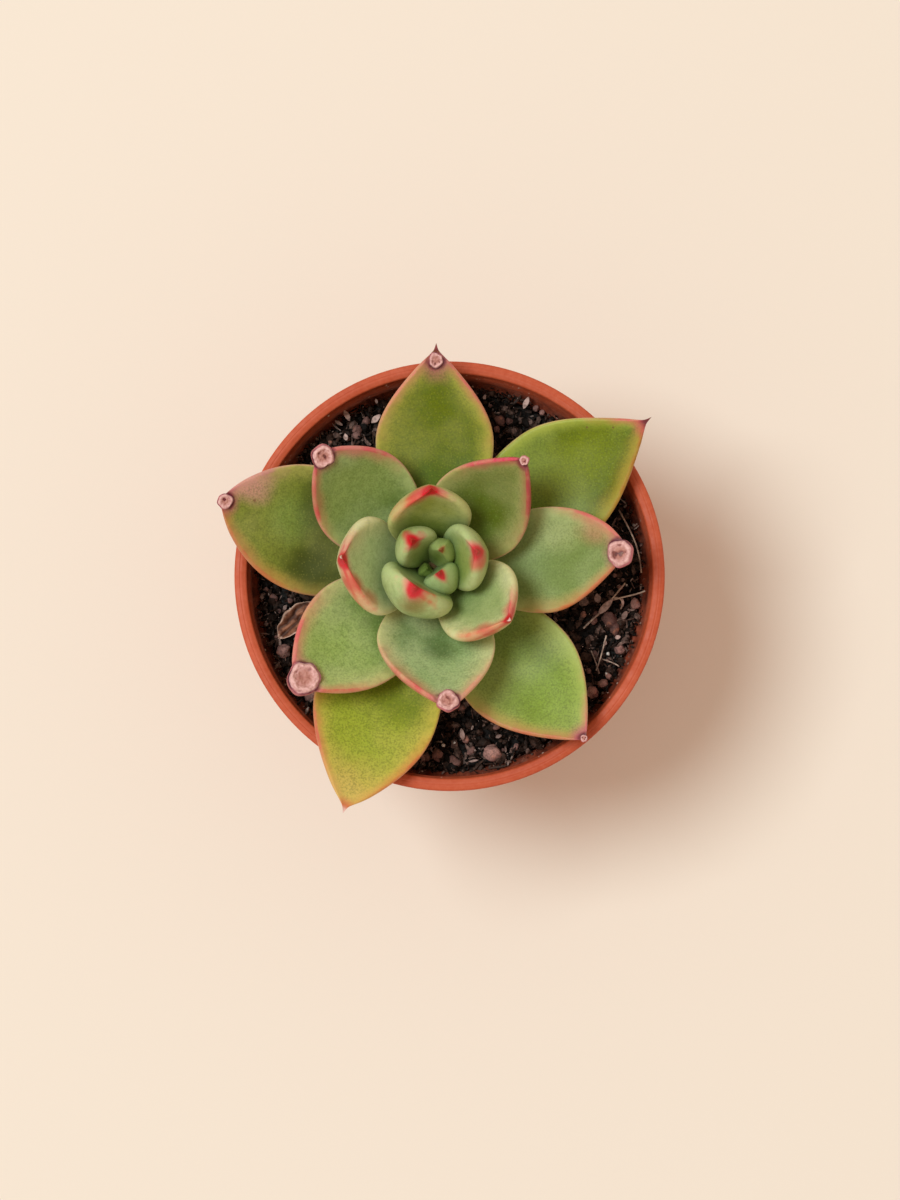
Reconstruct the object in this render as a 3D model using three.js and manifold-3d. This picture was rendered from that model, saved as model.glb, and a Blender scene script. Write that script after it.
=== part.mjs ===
// A Miranda echeveria rosette, rooted in gritty soil in its thin terracotta-coloured pot.
// Millimetres, +Z up, origin on the pot's axis at its underside, +Y towards the leaf that points
// away from the viewer.
import * as THREE from 'three';
import { mergeVertices } from 'three/addons/utils/BufferGeometryUtils.js';
import Module from 'manifold-3d';

const wasm = await Module();
wasm.setup();

// Pot
const POT_HEIGHT = 58;
const RIM_RADIUS = 34;
const RIM_WIDTH = 2;
const COLLAR_HEIGHT = 9;
const WALL = 1.2;
const FLOOR_THICK = 1.6;
const FOOT_RADIUS = 23.5;
const SHOULDER_RADIUS = 32.1;
const POT_SIDES = 64;
const DRAINS = 4;
const DRAIN_RADIUS = 2;
const DRAIN_RING = 14;

// Soil
const SOIL_TOP = POT_HEIGHT - 9.5;
const CRUMBS = 78;
const CRUMB_SIZES = [1.0, 2.0];
const CRUMB_RING = [8.5, 28.6];
const GOLDEN_TURN = Math.PI * (3 - Math.sqrt(5));

// Dried leaf on the soil
const SCRAP_LENGTH = 8;
const SCRAP_WIDTH = 4.2;
const SCRAP_THICK = 0.6;
const SCRAP_X = -24.6;
const SCRAP_Y = -6.6;
const SCRAP_HEIGHT = SOIL_TOP + 1.2;
const SCRAP_HEADING = 52;

// Rosette: its axis stands a little off the pot's axis
const AXIS_X = -2.7;
const AXIS_Y = 1.0;
const SEAT_LOW = -3.4;
const SEAT_HIGH = 7.7;
const SEAT_RADIUS_LOW = 3.6;
const SEAT_RADIUS_HIGH = 0.5;
const STEM_HOLE_RADIUS = 4.4;
const STEM_HOLE_DEPTH = 9;
const GAP = 0.3;
const SLIVER = 0.05;
const SCAR_DEPTH = 1.0;
const SCAR_PROUD = 0.3;
const SCAR_UPRIGHT = 0.6;

// The leaves from the oldest and lowest to the youngest. heading is the way a leaf points, turned
// from +X. reach and rise place its tip from the rosette's axis and from the rim. sag is how far
// the blade hangs below the line from seat to tip, cup how far its margins stand up, sway how far
// its tip swings to the side, widest where it is widest along its length, and blunt how full its
// tip is. A scar is the corky disc of a cut tip, and back is how far it sits before the tip.
const LEAVES = [
  { heading: 248.4, reach: 40.3, rise: 7.4, width: 19.6, depth: 4.0, sag: 2.0, cup: 1.2, sway: 1.2 },
  { heading: 34.0, reach: 41.0, rise: 7.5, width: 19.2, depth: 4.0, sag: 2.0, cup: 1.2, sway: 0.2,
    blunt: 1.08 },
  { heading: 162.8, reach: 34.6, rise: 8.0, width: 20.2, depth: 4.2, sag: 2.0, cup: 1.2,
    blunt: 0.72, scar: 1.4, back: 0.9 },
  { heading: 309.4, reach: 36.1, rise: 7.0, width: 18.8, depth: 4.2, sag: 2.0, cup: 1.2, sway: 1.3,
    scar: 0.7, back: 0.4 },
  { heading: 89.2, reach: 34.4, rise: 8.5, width: 18.6, depth: 4.4, sag: 2.2, cup: 1.2,
    scar: 1.5, back: 2.4, pointed: true },
  { heading: 220.6, reach: 28.4, rise: 12.0, width: 17.8, depth: 4.6, sag: 2.5, cup: 1.5,
    blunt: 0.7, scar: 2.6, back: 1.9 },
  { heading: 2.4, reach: 30.4, rise: 13.0, width: 16.8, depth: 4.6, sag: 2.5, cup: 1.5,
    blunt: 0.82, scar: 2.1, back: 1.5 },
  { heading: 135.8, reach: 24.8, rise: 15.0, width: 16.6, depth: 4.6, sag: 2.5, cup: 1.6,
    blunt: 0.75, scar: 2.0, back: 1.5 },
  { heading: 269.6, reach: 22.6, rise: 16.0, width: 18.4, depth: 4.6, sag: 2.4, cup: 1.8, sway: 2.6,
    widest: 0.42, scar: 2.0, back: 1.6 },
  { heading: 50.0, reach: 21.4, rise: 18.0, width: 15.8, depth: 4.6, sag: 2.4, cup: 1.8, sway: -0.8,
    widest: 0.46, blunt: 0.85, scar: 0.9, back: 0.6 },
  { heading: 184.0, reach: 13.8, rise: 19.5, width: 15.4, depth: 4.2, sag: 1.4, cup: 1.8, sway: -1.7 },
  { heading: 321.5, reach: 14.6, rise: 19.0, width: 14.3, depth: 4.0, sag: 1.3, cup: 1.8, sway: 0.4,
    scar: 0.6, back: 0.3 },
  { heading: 94.0, reach: 11.0, rise: 20.5, width: 12.6, depth: 3.8, sag: 1.1, cup: 1.8, sway: -1.0 },
  { heading: 238.1, reach: 4.6, rise: 20.5, width: 12.4, depth: 3.8, sag: 1.8, cup: 1.6 },
  { heading: 12.4, reach: 6.8, rise: 20.0, width: 10.5, depth: 3.2, sag: 1.3, cup: 1.4 },
  { heading: 130.7, reach: 4.2, rise: 19.0, width: 8.2, depth: 3.0, sag: 1.1, cup: 1.2 },
  { heading: 295.0, reach: 2.2, rise: 16.5, width: 6.0, depth: 2.8, sag: 1.2, cup: 0.8 },
  { heading: 55.0, reach: 2.2, rise: 16.0, width: 5.0, depth: 2.4, sag: 1.0, cup: 0.6 },
  { heading: 200.0, reach: 0.8, rise: 12.5, width: 3.2, depth: 1.8, sag: 0.5, cup: 0.4 },
];

// Colours of the outer, middle and inner leaves
const OUTER_GREEN = '#8e9a3f';
const MIDDLE_GREEN = '#809a5c';
const INNER_GREEN = '#93ab72';

const clamp01 = (x) => THREE.MathUtils.clamp(x, 0, 1);
const ease = (from, to, x) => THREE.MathUtils.smoothstep(x, from, to);

// One repeatable run of random numbers from 0 to 1.
function dice(seed) {
  let state = seed;
  return () => {
    state = (state * 1664525 + 1013904223) % 4294967296;
    return state / 4294967296;
  };
}

// A closed geometry as a solid, and a solid as a geometry.
function solidOf(geometry) {
  geometry.deleteAttribute('normal');
  geometry.deleteAttribute('uv');
  const merged = mergeVertices(geometry, 1e-4);
  return new wasm.Manifold(new wasm.Mesh({
    numProp: 3,
    vertProperties: merged.attributes.position.array,
    triVerts: new Uint32Array(merged.index.array),
  }));
}

function geometryOf(solid) {
  const mesh = solid.getMesh();
  const geometry = new THREE.BufferGeometry();
  geometry.setAttribute('position', new THREE.BufferAttribute(mesh.vertProperties, 3));
  geometry.setIndex(new THREE.BufferAttribute(mesh.triVerts, 1));
  return geometry;
}

// The biggest of the bodies that a cut leaves, without the slivers along the cut.
function largest(solid, sliver = SLIVER) {
  const bodies = solid.decompose();
  bodies.sort((a, b) => b.volume() - a.volume());
  return bodies[0].asOriginal().simplify(sliver);
}

// A solid of revolution about Z from [radius, height] pairs.
function turned(profile, sides) {
  const points = profile.map(([radius, height]) => new THREE.Vector2(radius, height));
  const geometry = new THREE.LatheGeometry(points, sides);
  geometry.rotateX(Math.PI / 2);
  return solidOf(geometry);
}

// A quarter-round arc of [radius, height] pairs about a centre.
function arc(radius, height, size, fromDegrees, toDegrees, steps) {
  return Array.from({ length: steps + 1 }, (_, i) => {
    const turn = THREE.MathUtils.degToRad(fromDegrees + ((toDegrees - fromDegrees) * i) / steps);
    return [radius + size * Math.cos(turn), height + size * Math.sin(turn)];
  });
}

// The pot's inner radius below the collar at a height.
function innerRadius(height) {
  const share = (height - FLOOR_THICK) / (POT_HEIGHT - COLLAR_HEIGHT - FLOOR_THICK);
  return THREE.MathUtils.lerp(FOOT_RADIUS, SHOULDER_RADIUS, share) - WALL;
}

// Pot: a tapered cup with a taller collar, a rounded rim and round drain holes in its floor.
function pot() {
  const collarBottom = POT_HEIGHT - COLLAR_HEIGHT;
  const rimRound = RIM_WIDTH / 2;
  const ledge = RIM_RADIUS - RIM_WIDTH - 0.5;
  const cup = turned([
    [0, 0],
    ...arc(FOOT_RADIUS - 1, 1, 1, -90, 0, 3),
    [SHOULDER_RADIUS, collarBottom - 0.6],
    ...arc(RIM_RADIUS - 0.4 - 0.6, collarBottom + 0.6, 0.6, -90, 0, 2),
    ...arc(RIM_RADIUS - rimRound, POT_HEIGHT - rimRound, rimRound, 0, 180, 7),
    [ledge, collarBottom + 1.2],
    [innerRadius(collarBottom), collarBottom + 0.2],
    [innerRadius(FLOOR_THICK), FLOOR_THICK],
    [0, FLOOR_THICK],
  ], POT_SIDES);
  return Array.from({ length: DRAINS }, (_, i) => (i * 2 * Math.PI) / DRAINS)
    .reduce((body, turn) => {
      const drill = new THREE.CylinderGeometry(DRAIN_RADIUS, DRAIN_RADIUS, 3 * FLOOR_THICK, 16);
      drill.rotateX(Math.PI / 2);
      drill.translate(DRAIN_RING * Math.cos(turn), DRAIN_RING * Math.sin(turn), FLOOR_THICK / 2);
      return body.subtract(solidOf(drill));
    }, cup);
}

// Height of the bare soil at a place, rolling gently.
function soilHeight(x, y) {
  const swell = 0.5 * Math.sin(x * 0.31 + 1.0) * Math.cos(y * 0.27);
  return SOIL_TOP + swell + 0.3 * Math.sin(y * 0.53 + x * 0.2);
}

// One crumb or stone of a size, with uneven corners, sunk into the soil at a place.
function crumb(size, x, y, next) {
  const plain = new THREE.IcosahedronGeometry(size, 0);
  plain.deleteAttribute('normal');
  plain.deleteAttribute('uv');
  const geometry = mergeVertices(plain, 1e-4);
  const at = geometry.attributes.position;
  for (let i = 0; i < at.count; i += 1) {
    const push = 0.8 + 0.35 * next();
    at.setXYZ(i, at.getX(i) * push, at.getY(i) * push, at.getZ(i) * push);
  }
  geometry.rotateX(next() * Math.PI);
  geometry.rotateY(next() * Math.PI);
  geometry.scale(1, 1, 0.6 + 0.25 * next());
  geometry.translate(x, y, soilHeight(x, y) + size * 0.2);
  return solidOf(geometry);
}

// Soil: the filling of the pot with a plain hole for the stem, and crumbs and stones on top.
function soil() {
  const bottom = FLOOR_THICK + GAP;
  const edge = innerRadius(SOIL_TOP - 1) - GAP;
  const rings = [edge - 0.6, 27, 23.5, 20, 16, 12, 8, 4];
  const geometry = new THREE.LatheGeometry([
    [0, bottom],
    [innerRadius(bottom) - GAP, bottom],
    [edge, SOIL_TOP - 1],
    ...rings.map((radius) => [radius, SOIL_TOP]),
    [0, SOIL_TOP],
  ].map(([radius, height]) => new THREE.Vector2(radius, height)), 36);
  geometry.rotateX(Math.PI / 2);
  const at = geometry.attributes.position;
  for (let i = 0; i < at.count; i += 1) {
    if (at.getZ(i) > SOIL_TOP - 0.5) at.setZ(i, soilHeight(at.getX(i), at.getY(i)));
  }
  const drill = new THREE.CylinderGeometry(STEM_HOLE_RADIUS, STEM_HOLE_RADIUS, 2 * STEM_HOLE_DEPTH, 20);
  drill.rotateX(Math.PI / 2);
  drill.translate(AXIS_X, AXIS_Y, SOIL_TOP);

  const next = dice(7);
  const crumbs = [];
  for (let i = 0; i < CRUMBS; i += 1) {
    const share = (i + 0.5) / CRUMBS;
    const radius = Math.sqrt(THREE.MathUtils.lerp(CRUMB_RING[0] ** 2, CRUMB_RING[1] ** 2, share));
    const turn = i * GOLDEN_TURN + 0.3 * next();
    const size = THREE.MathUtils.lerp(...CRUMB_SIZES, next() ** 2);
    const x = radius * Math.cos(turn);
    const y = radius * Math.sin(turn);
    if (Math.hypot(x - SCRAP_X, y - SCRAP_Y) > SCRAP_LENGTH / 2 + size) {
      crumbs.push(crumb(size, x, y, next));
    }
  }
  return largest(wasm.Manifold.union([solidOf(geometry), ...crumbs]).subtract(solidOf(drill)), 0.15);
}

// Where a leaf is seated on the stem, counted from 0 for the oldest to 1 for the youngest.
function seat(age) {
  return {
    radius: THREE.MathUtils.lerp(SEAT_RADIUS_LOW, SEAT_RADIUS_HIGH, age ** 1.35),
    height: THREE.MathUtils.lerp(SEAT_HIGH, SEAT_LOW, (1 - age) ** 1.15),
  };
}

// The midrib of a leaf in the upright plane that it points along, measured from the rosette's
// axis and from the rim: its place, its direction and its length.
function midrib(leaf, t) {
  const from = new THREE.Vector2(leaf.seat.radius, leaf.seat.height);
  const to = new THREE.Vector2(leaf.reach, leaf.rise);
  const chord = to.clone().sub(from);
  const up = new THREE.Vector2(-chord.y, chord.x).normalize();
  const middle = from.clone().add(to).multiplyScalar(0.5).addScaledVector(up, -2 * leaf.sag);
  const place = from.multiplyScalar((1 - t) ** 2)
    .addScaledVector(middle, 2 * t * (1 - t)).addScaledVector(to, t ** 2);
  const start = middle.clone().sub(new THREE.Vector2(leaf.seat.radius, leaf.seat.height));
  const end = to.clone().sub(middle);
  const along = start.multiplyScalar(1 - t).addScaledVector(end, t).normalize();
  return { place, along, length: chord.length() };
}

// The share of the full half width at a share t of the length.
function widthShare(leaf, t, length) {
  const widest = leaf.widest ?? 0.52;
  const blunt = leaf.blunt ?? 0.95;
  const lower = 0.42 + 0.58 * Math.sin((Math.PI / 2) * clamp01(t / widest)) ** 1.15;
  const upper = Math.sin((Math.PI / 2) * clamp01((1 - t) / (1 - widest)) ** blunt);
  const pinch = !leaf.scar || leaf.pointed ? 1 - 0.35 * Math.exp(-((((1 - t) * length) / 1.6) ** 2)) : 1;
  return (t < widest ? lower : upper) * butt(t) * pinch;
}

// The share of the depth at a share t of the length, and the rounding of the seated end.
function depthShare(t) {
  const lower = 0.5 + 0.5 * Math.sin((Math.PI / 2) * clamp01(t / 0.45));
  const upper = Math.sin((Math.PI / 2) * clamp01((1 - t) / 0.55) ** 0.9);
  return (t < 0.45 ? lower : upper) * butt(t);
}

function butt(t) {
  return Math.sqrt(clamp01(1 - (1 - clamp01(t / 0.05)) ** 2));
}

// A place on a leaf's skin: t along it, across from -1 to 1, and above the margins or below.
function skin(leaf, t, across, above) {
  const { place, along, length } = midrib(leaf, t);
  const side = Math.abs(across);
  const bulge = Math.sqrt(Math.max(0, 1 - side ** 2));
  const keel = 0.5 * ease(0.45, 0.95, t);
  const under = (1 - keel) * bulge + keel * (1 - side);
  const skinDepth = above ? 0.12 * bulge : -under;
  const cup = leaf.cup * Math.sin(Math.PI * t) ** 0.8 * (side ** 2.2 - 0.3);
  const lift = leaf.depth * depthShare(t) * skinDepth + cup;
  const out = place.x - along.y * lift;
  const height = place.y + along.x * lift;
  const aside = (leaf.width / 2) * widthShare(leaf, t, length) * across + (leaf.sway ?? 0) * t ** 2;
  const turn = THREE.MathUtils.degToRad(leaf.heading);
  return new THREE.Vector3(
    AXIS_X + out * Math.cos(turn) - aside * Math.sin(turn),
    AXIS_Y + out * Math.sin(turn) + aside * Math.cos(turn),
    POT_HEIGHT + height,
  );
}

// A leaf's blade: a sphere whose pole at +Y becomes the seat and whose pole at -Y the tip.
function blade(leaf) {
  const geometry = new THREE.SphereGeometry(1, leaf.sides, leaf.steps);
  const at = geometry.attributes.position;
  for (let i = 0; i < at.count; i += 1) {
    const t = clamp01((1 - at.getY(i)) / 2);
    const ring = Math.max(1e-9, Math.hypot(at.getX(i), at.getZ(i)));
    const across = ring < 1e-6 ? 0 : at.getX(i) / ring;
    const spot = skin(leaf, ring < 1e-6 ? Math.round(t) : t, across, at.getZ(i) >= 0);
    at.setXYZ(i, spot.x, spot.y, spot.z);
  }
  geometry.deleteAttribute('normal');
  geometry.deleteAttribute('uv');
  return mergeVertices(geometry, 1e-4);
}

// A closed geometry swollen along its normals.
function swollen(geometry, by) {
  const wide = geometry.clone();
  wide.computeVertexNormals();
  const at = wide.attributes.position;
  const normal = wide.attributes.normal;
  for (let i = 0; i < at.count; i += 1) {
    at.setXYZ(
      i,
      at.getX(i) + by * normal.getX(i),
      at.getY(i) + by * normal.getY(i),
      at.getZ(i) + by * normal.getZ(i),
    );
  }
  return solidOf(wide);
}

// The corky disc on a cut tip, standing a little proud of the upper skin and facing up.
function scar(leaf) {
  const { length } = midrib(leaf, 0);
  const t = 1 - leaf.back / length;
  const top = skin(leaf, t, 0, true);
  const up = top.clone().sub(skin(leaf, t, 0, false)).normalize();
  up.lerp(new THREE.Vector3(0, 0, 1), SCAR_UPRIGHT).normalize();
  const disc = new THREE.CylinderGeometry(leaf.scar * 0.88, leaf.scar, SCAR_DEPTH, 14);
  disc.applyQuaternion(new THREE.Quaternion().setFromUnitVectors(new THREE.Vector3(0, 1, 0), up));
  const middle = top.addScaledVector(up, SCAR_PROUD - SCAR_DEPTH / 2);
  disc.translate(middle.x, middle.y, middle.z);
  return solidOf(disc);
}

// Leaves: each older one is hollowed where a younger one presses on it, which leaves a hairline
// gap all round, and carries its own scar.
function leaves() {
  const grown = LEAVES.map((given, i) => {
    const large = given.width > 13;
    const leaf = {
      ...given,
      seat: seat(i / (LEAVES.length - 1)),
      sides: large ? 16 : 12,
      steps: large ? 14 : 11,
    };
    const geometry = blade(leaf);
    return { leaf, body: solidOf(geometry.clone()), room: swollen(geometry, GAP + SLIVER).simplify(SLIVER) };
  });
  return grown.map(({ leaf, body, room }, i) => {
    const younger = wasm.Manifold.union(grown.slice(i + 1).map((other) => other.room));
    const whole = leaf.scar ? body.add(scar(leaf)) : body;
    return { leaf, room, body: i + 1 < grown.length ? largest(whole.subtract(younger)) : whole };
  });
}

// Stem: rooted in the soil's hole and rising as a cone that holds a socket for each leaf.
function stem(rooms) {
  const low = seat(0);
  const high = seat(1);
  const foot = SOIL_TOP - STEM_HOLE_DEPTH + GAP;
  const rootRadius = STEM_HOLE_RADIUS - GAP;
  const cone = turned([
    [0, foot],
    [rootRadius - 1.6, foot],
    [rootRadius - 0.4, foot + 3],
    [rootRadius, SOIL_TOP - 1],
    [rootRadius - 0.4, SOIL_TOP + 1.6],
    [low.radius + 0.6, POT_HEIGHT + low.height],
    [seat(0.5).radius + 0.6, POT_HEIGHT + seat(0.5).height],
    [high.radius + 0.7, POT_HEIGHT + high.height - 1],
    [0, POT_HEIGHT + high.height],
  ], 20).translate([AXIS_X, AXIS_Y, 0]);
  return largest(cone.subtract(wasm.Manifold.union(rooms)), 0.1);
}

// Dried leaf: a thin brown scrap with curled sides, lying on the soil.
function driedLeaf() {
  const geometry = new THREE.BoxGeometry(SCRAP_LENGTH, SCRAP_WIDTH, SCRAP_THICK, 8, 6, 1);
  const at = geometry.attributes.position;
  const turn = THREE.MathUtils.degToRad(SCRAP_HEADING);
  for (let i = 0; i < at.count; i += 1) {
    const along = at.getX(i) / (SCRAP_LENGTH / 2);
    const taper = Math.sqrt(Math.max(0.06, 1 - Math.abs(along) ** 2.2));
    const across = at.getY(i) / (SCRAP_WIDTH / 2);
    const x = at.getX(i);
    const y = at.getY(i) * taper;
    const curl = 1.1 * (across * taper) ** 2 + 0.5 * Math.max(0, along) ** 2;
    at.setXYZ(
      i,
      SCRAP_X + x * Math.cos(turn) - y * Math.sin(turn),
      SCRAP_Y + x * Math.sin(turn) + y * Math.cos(turn),
      SCRAP_HEIGHT + at.getZ(i) + curl,
    );
  }
  return solidOf(geometry);
}

function named(name, solid, colour, roughness) {
  const material = new THREE.MeshStandardMaterial({ color: colour, roughness, metalness: 0 });
  const mesh = new THREE.Mesh(geometryOf(solid), material);
  mesh.name = name;
  return mesh;
}

const plant = new THREE.Group();
const rosette = leaves();
rosette.forEach(({ leaf, body }, i) => {
  const green = leaf.reach > 33 ? OUTER_GREEN : MIDDLE_GREEN;
  const name = `leaf_${String(i + 1).padStart(2, '0')}`;
  plant.add(named(name, body, leaf.reach < 15 ? INNER_GREEN : green, 0.5));
});
plant.add(named('stem', stem(rosette.map(({ room }) => room)), '#7d7a4c', 0.8));

const filledPot = new THREE.Group();
filledPot.add(named('pot', pot(), '#c4623f', 0.55));
filledPot.add(named('soil', soil(), '#2c2320', 0.95));
filledPot.add(named('dried_leaf', driedLeaf(), '#8a5a3c', 0.9));

const echeveria = new THREE.Group();
echeveria.add(filledPot, plant);

export default echeveria;
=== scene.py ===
import math
import random
from dataclasses import dataclass

import bmesh
import bpy
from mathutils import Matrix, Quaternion, Vector, noise
from mathutils.bvhtree import BVHTree


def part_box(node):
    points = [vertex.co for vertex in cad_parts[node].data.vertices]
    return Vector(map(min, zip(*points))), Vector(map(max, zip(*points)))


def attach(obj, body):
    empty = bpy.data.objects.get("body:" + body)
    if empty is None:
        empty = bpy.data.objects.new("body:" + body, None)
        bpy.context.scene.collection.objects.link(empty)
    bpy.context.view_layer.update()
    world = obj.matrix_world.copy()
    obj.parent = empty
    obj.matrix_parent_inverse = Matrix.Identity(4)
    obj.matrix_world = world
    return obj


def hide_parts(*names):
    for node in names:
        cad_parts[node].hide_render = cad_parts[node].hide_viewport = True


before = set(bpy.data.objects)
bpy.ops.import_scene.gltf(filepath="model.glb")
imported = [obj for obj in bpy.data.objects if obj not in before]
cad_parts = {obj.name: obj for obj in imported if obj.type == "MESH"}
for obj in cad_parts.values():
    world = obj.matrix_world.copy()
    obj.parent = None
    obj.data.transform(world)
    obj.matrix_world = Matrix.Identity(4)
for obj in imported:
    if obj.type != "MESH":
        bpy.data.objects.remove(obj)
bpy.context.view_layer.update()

# Leaf and soil sizes below are in millimetres, and each vertex is scaled as it is placed
MM = 0.001

# Places taken from the frame
POT_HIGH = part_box("pot")[1]
SOIL_LOW, SOIL_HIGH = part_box("soil")
RIM = POT_HIGH.z / MM
RIM_RADIUS = POT_HIGH.x / MM

# Pot
RIM_WIDTH = 2.0
COLLAR_HEIGHT = 9.0
WALL = 1.2
FLOOR_THICK = 1.6
FOOT_RADIUS = 23.5
SHOULDER_RADIUS = 32.1
DRAIN_RADIUS = 2.0
DRAIN_RING = 14.0
DRAINS = 4
MOULD_RINGS = 0.55

# Soil, with how many crumbs, flakes and small stones lie on it
SOIL_TOP = RIM - 9.5
LUMPS = 6000
FLAKES = 8000
GRIT = 170

# Rosette
AXIS_X = -2.7
AXIS_Y = 1.0
SEAT_LOW = -3.4
SEAT_HIGH = 7.7
SEAT_RADIUS_LOW = 3.6
SEAT_RADIUS_HIGH = 0.5
BLADE_SIDES = 72
BLADE_STEPS = 96
CLEARANCE = 0.12

# Leaf shape, as shares of a leaf's length or width where no millimetres are named
BUTT_LENGTH = 0.05
BUTT_WIDTH = 0.42
THICKEST = 0.45
PINCH = 0.35
PINCH_MM = 1.6
SWELL_MM = 0.22
PRESS_REACH_MM = 12
PRESSED_THIN_MM = 0.4
NO_SCAR = 50.0


def srgb(red, green, blue):
    """A colour of 0 to 255 on screen as the linear colour that shaders take."""
    def linear(level):
        share = level / 255
        return share / 12.92 if share <= 0.04045 else ((share + 0.055) / 1.055) ** 2.4
    return (linear(red), linear(green), linear(blue), 1.0)


@dataclass
class Spot:
    """A soft patch of colour on a leaf: how far back from the tip and to the left its middle is."""
    back: float
    left: float
    radius: float
    tint: tuple
    amount: float = 0.8
    stretch: float = 1.0
    soft: float = 0.85


@dataclass
class Paint:
    """The colours of a leaf. Left and right are as seen from the stem towards the tip.

    The face is edged by a pale border and deepens by the stem, partly in its own green and partly as painted
    shade; a thin pale line on the very margin is partly a painted highlight. The tinted line of each side
    runs inset from the margin, and reaches so many millimetres back from the tip.
    """
    face: tuple
    border: tuple
    deep: tuple
    left_margin: tuple
    right_margin: tuple
    left_width: float = 0.6
    right_width: float = 0.6
    left_reach: float = 14.0
    right_reach: float = 14.0
    inset: float = 0.25
    border_width: float = 3.5
    deep_start: float = 14.0
    edge: tuple = None
    bloom: float = 0.1
    speckle: float = 0.5
    spots: tuple = ()


@dataclass
class Leaf:
    """The shape of a leaf in millimetres and degrees.

    heading is the way it points, turned from +X. reach and rise place its tip from the rosette's
    axis and from the rim.
    """
    name: str
    heading: float
    reach: float
    rise: float
    width: float
    depth: float
    sag: float
    cup: float
    sway: float = 0.0
    widest: float = 0.52
    blunt: float = 0.95
    lean: float = 0.0
    scar: float = 0.0
    back: float = 0.0
    pointed: bool = False
    roll: float = 0.7
    crown: float = 0.12
    slot: str = "middle_leaf"


OUTER = dict(slot="outer_leaf", roll=0.6)
INNER = dict(slot="inner_leaf", roll=1.5, crown=0.2)
HEART = dict(slot="inner_leaf", roll=2.0, crown=0.5)

LEAVES = [
    Leaf("leaf_01", 245.4, 40.3, 7.4, 20.2, 4.0, 2.0, 1.2, sway=3.3, **OUTER),
    Leaf("leaf_02", 34.0, 41.0, 7.5, 19.4, 4.0, 2.0, 1.2, sway=0.2, blunt=1.08, **OUTER),
    Leaf("leaf_03", 162.5, 34.6, 8.0, 20.2, 4.2, 2.0, 1.2, blunt=0.76, scar=1.15, back=0.8, **OUTER),
    Leaf("leaf_04", 309.4, 36.1, 7.0, 18.8, 4.2, 2.0, 1.2, sway=1.3, scar=0.56, back=0.4, **OUTER),
    Leaf("leaf_05", 89.0, 34.4, 8.5, 18.6, 4.4, 2.2, 1.2, blunt=1.05, scar=1.15, back=2.3, pointed=True,
         **OUTER),
    Leaf("leaf_06", 221.4, 28.1, 12.0, 17.8, 4.6, 2.5, 1.5, widest=0.45, blunt=0.82, scar=2.45, back=2.1),
    Leaf("leaf_07", 3.6, 30.3, 13.0, 16.6, 4.6, 2.5, 1.5, blunt=0.86, lean=0.22, scar=2.0, back=1.5),
    Leaf("leaf_08", 135.4, 24.6, 15.0, 16.4, 4.6, 2.5, 1.6, blunt=0.88, scar=1.72, back=1.4),
    Leaf("leaf_09", 270.6, 22.2, 16.0, 18.4, 4.6, 2.4, 1.8, sway=2.5, widest=0.42, scar=1.64, back=1.8),
    Leaf("leaf_10", 50.0, 21.4, 18.0, 15.8, 4.6, 2.4, 1.8, sway=-0.8, widest=0.4, blunt=0.98,
         scar=0.74, back=0.5),
    Leaf("leaf_11", 184.0, 13.8, 19.5, 15.4, 4.2, 1.4, 1.8, sway=-1.7, **INNER),
    Leaf("leaf_12", 321.5, 14.8, 19.0, 14.3, 4.0, 1.3, 1.8, sway=0.4, **INNER),
    Leaf("leaf_13", 95.6, 11.0, 20.5, 13.1, 3.8, 1.1, 1.8, sway=-1.0, **INNER),
    Leaf("leaf_14", 238.1, 4.6, 20.5, 12.4, 3.8, 1.8, 0.6, **HEART),
    Leaf("leaf_15", 12.4, 7.0, 20.0, 10.6, 3.2, 1.3, 0.6, **HEART),
    Leaf("leaf_16", 132.0, 4.4, 19.0, 7.4, 3.0, 1.1, 0.4, **HEART),
    Leaf("leaf_17", 306.0, 1.7, 16.8, 6.0, 2.8, 1.2, 0.2, **HEART),
    Leaf("leaf_18", 55.0, 2.3, 16.0, 4.7, 2.2, 1.0, 0.2, **HEART),
    Leaf("leaf_19", 214.0, 0.7, 10.6, 2.6, 1.5, 0.5, 0.0, **HEART),
]

MINT = (165, 188, 124)
BRONZE = (172, 118, 44)
CREAM = (196, 202, 142)
PEACH = (218, 184, 142)
ROSE = (206, 92, 96)
BLUSH = (224, 166, 142)
RUST = (194, 102, 56)
CORAL = (212, 84, 62)
CRIMSON = (204, 18, 40)
BLOOD = (160, 0, 20)
MAROON = (104, 24, 44)
BEAD = (240, 206, 204)
MOSS = (84, 100, 22)
FERN = (96, 124, 56)


def red_tip(radius, left=0.0, amount=1.0):
    """The bright red end of a young leaf, with a deep red middle."""
    return (
        Spot(0.6, left, radius * 1.55, ROSE, 0.55 * amount),
        Spot(0.5, left * 0.7, radius, CRIMSON, amount, soft=0.55),
        Spot(0.5, left * 0.6, radius * 0.5, BLOOD, 0.5 * amount),
    )


HEART_PAINT = dict(left_width=0.7, right_width=0.7, inset=0.4, bloom=0.06, speckle=0.35,
                   border_width=2.6, deep_start=5.0)
YOUNG_PAINT = dict(left_width=0.8, right_width=0.8, inset=0.4, bloom=0.06, speckle=0.4,
                   border_width=4.6, deep_start=8.0)

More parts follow.
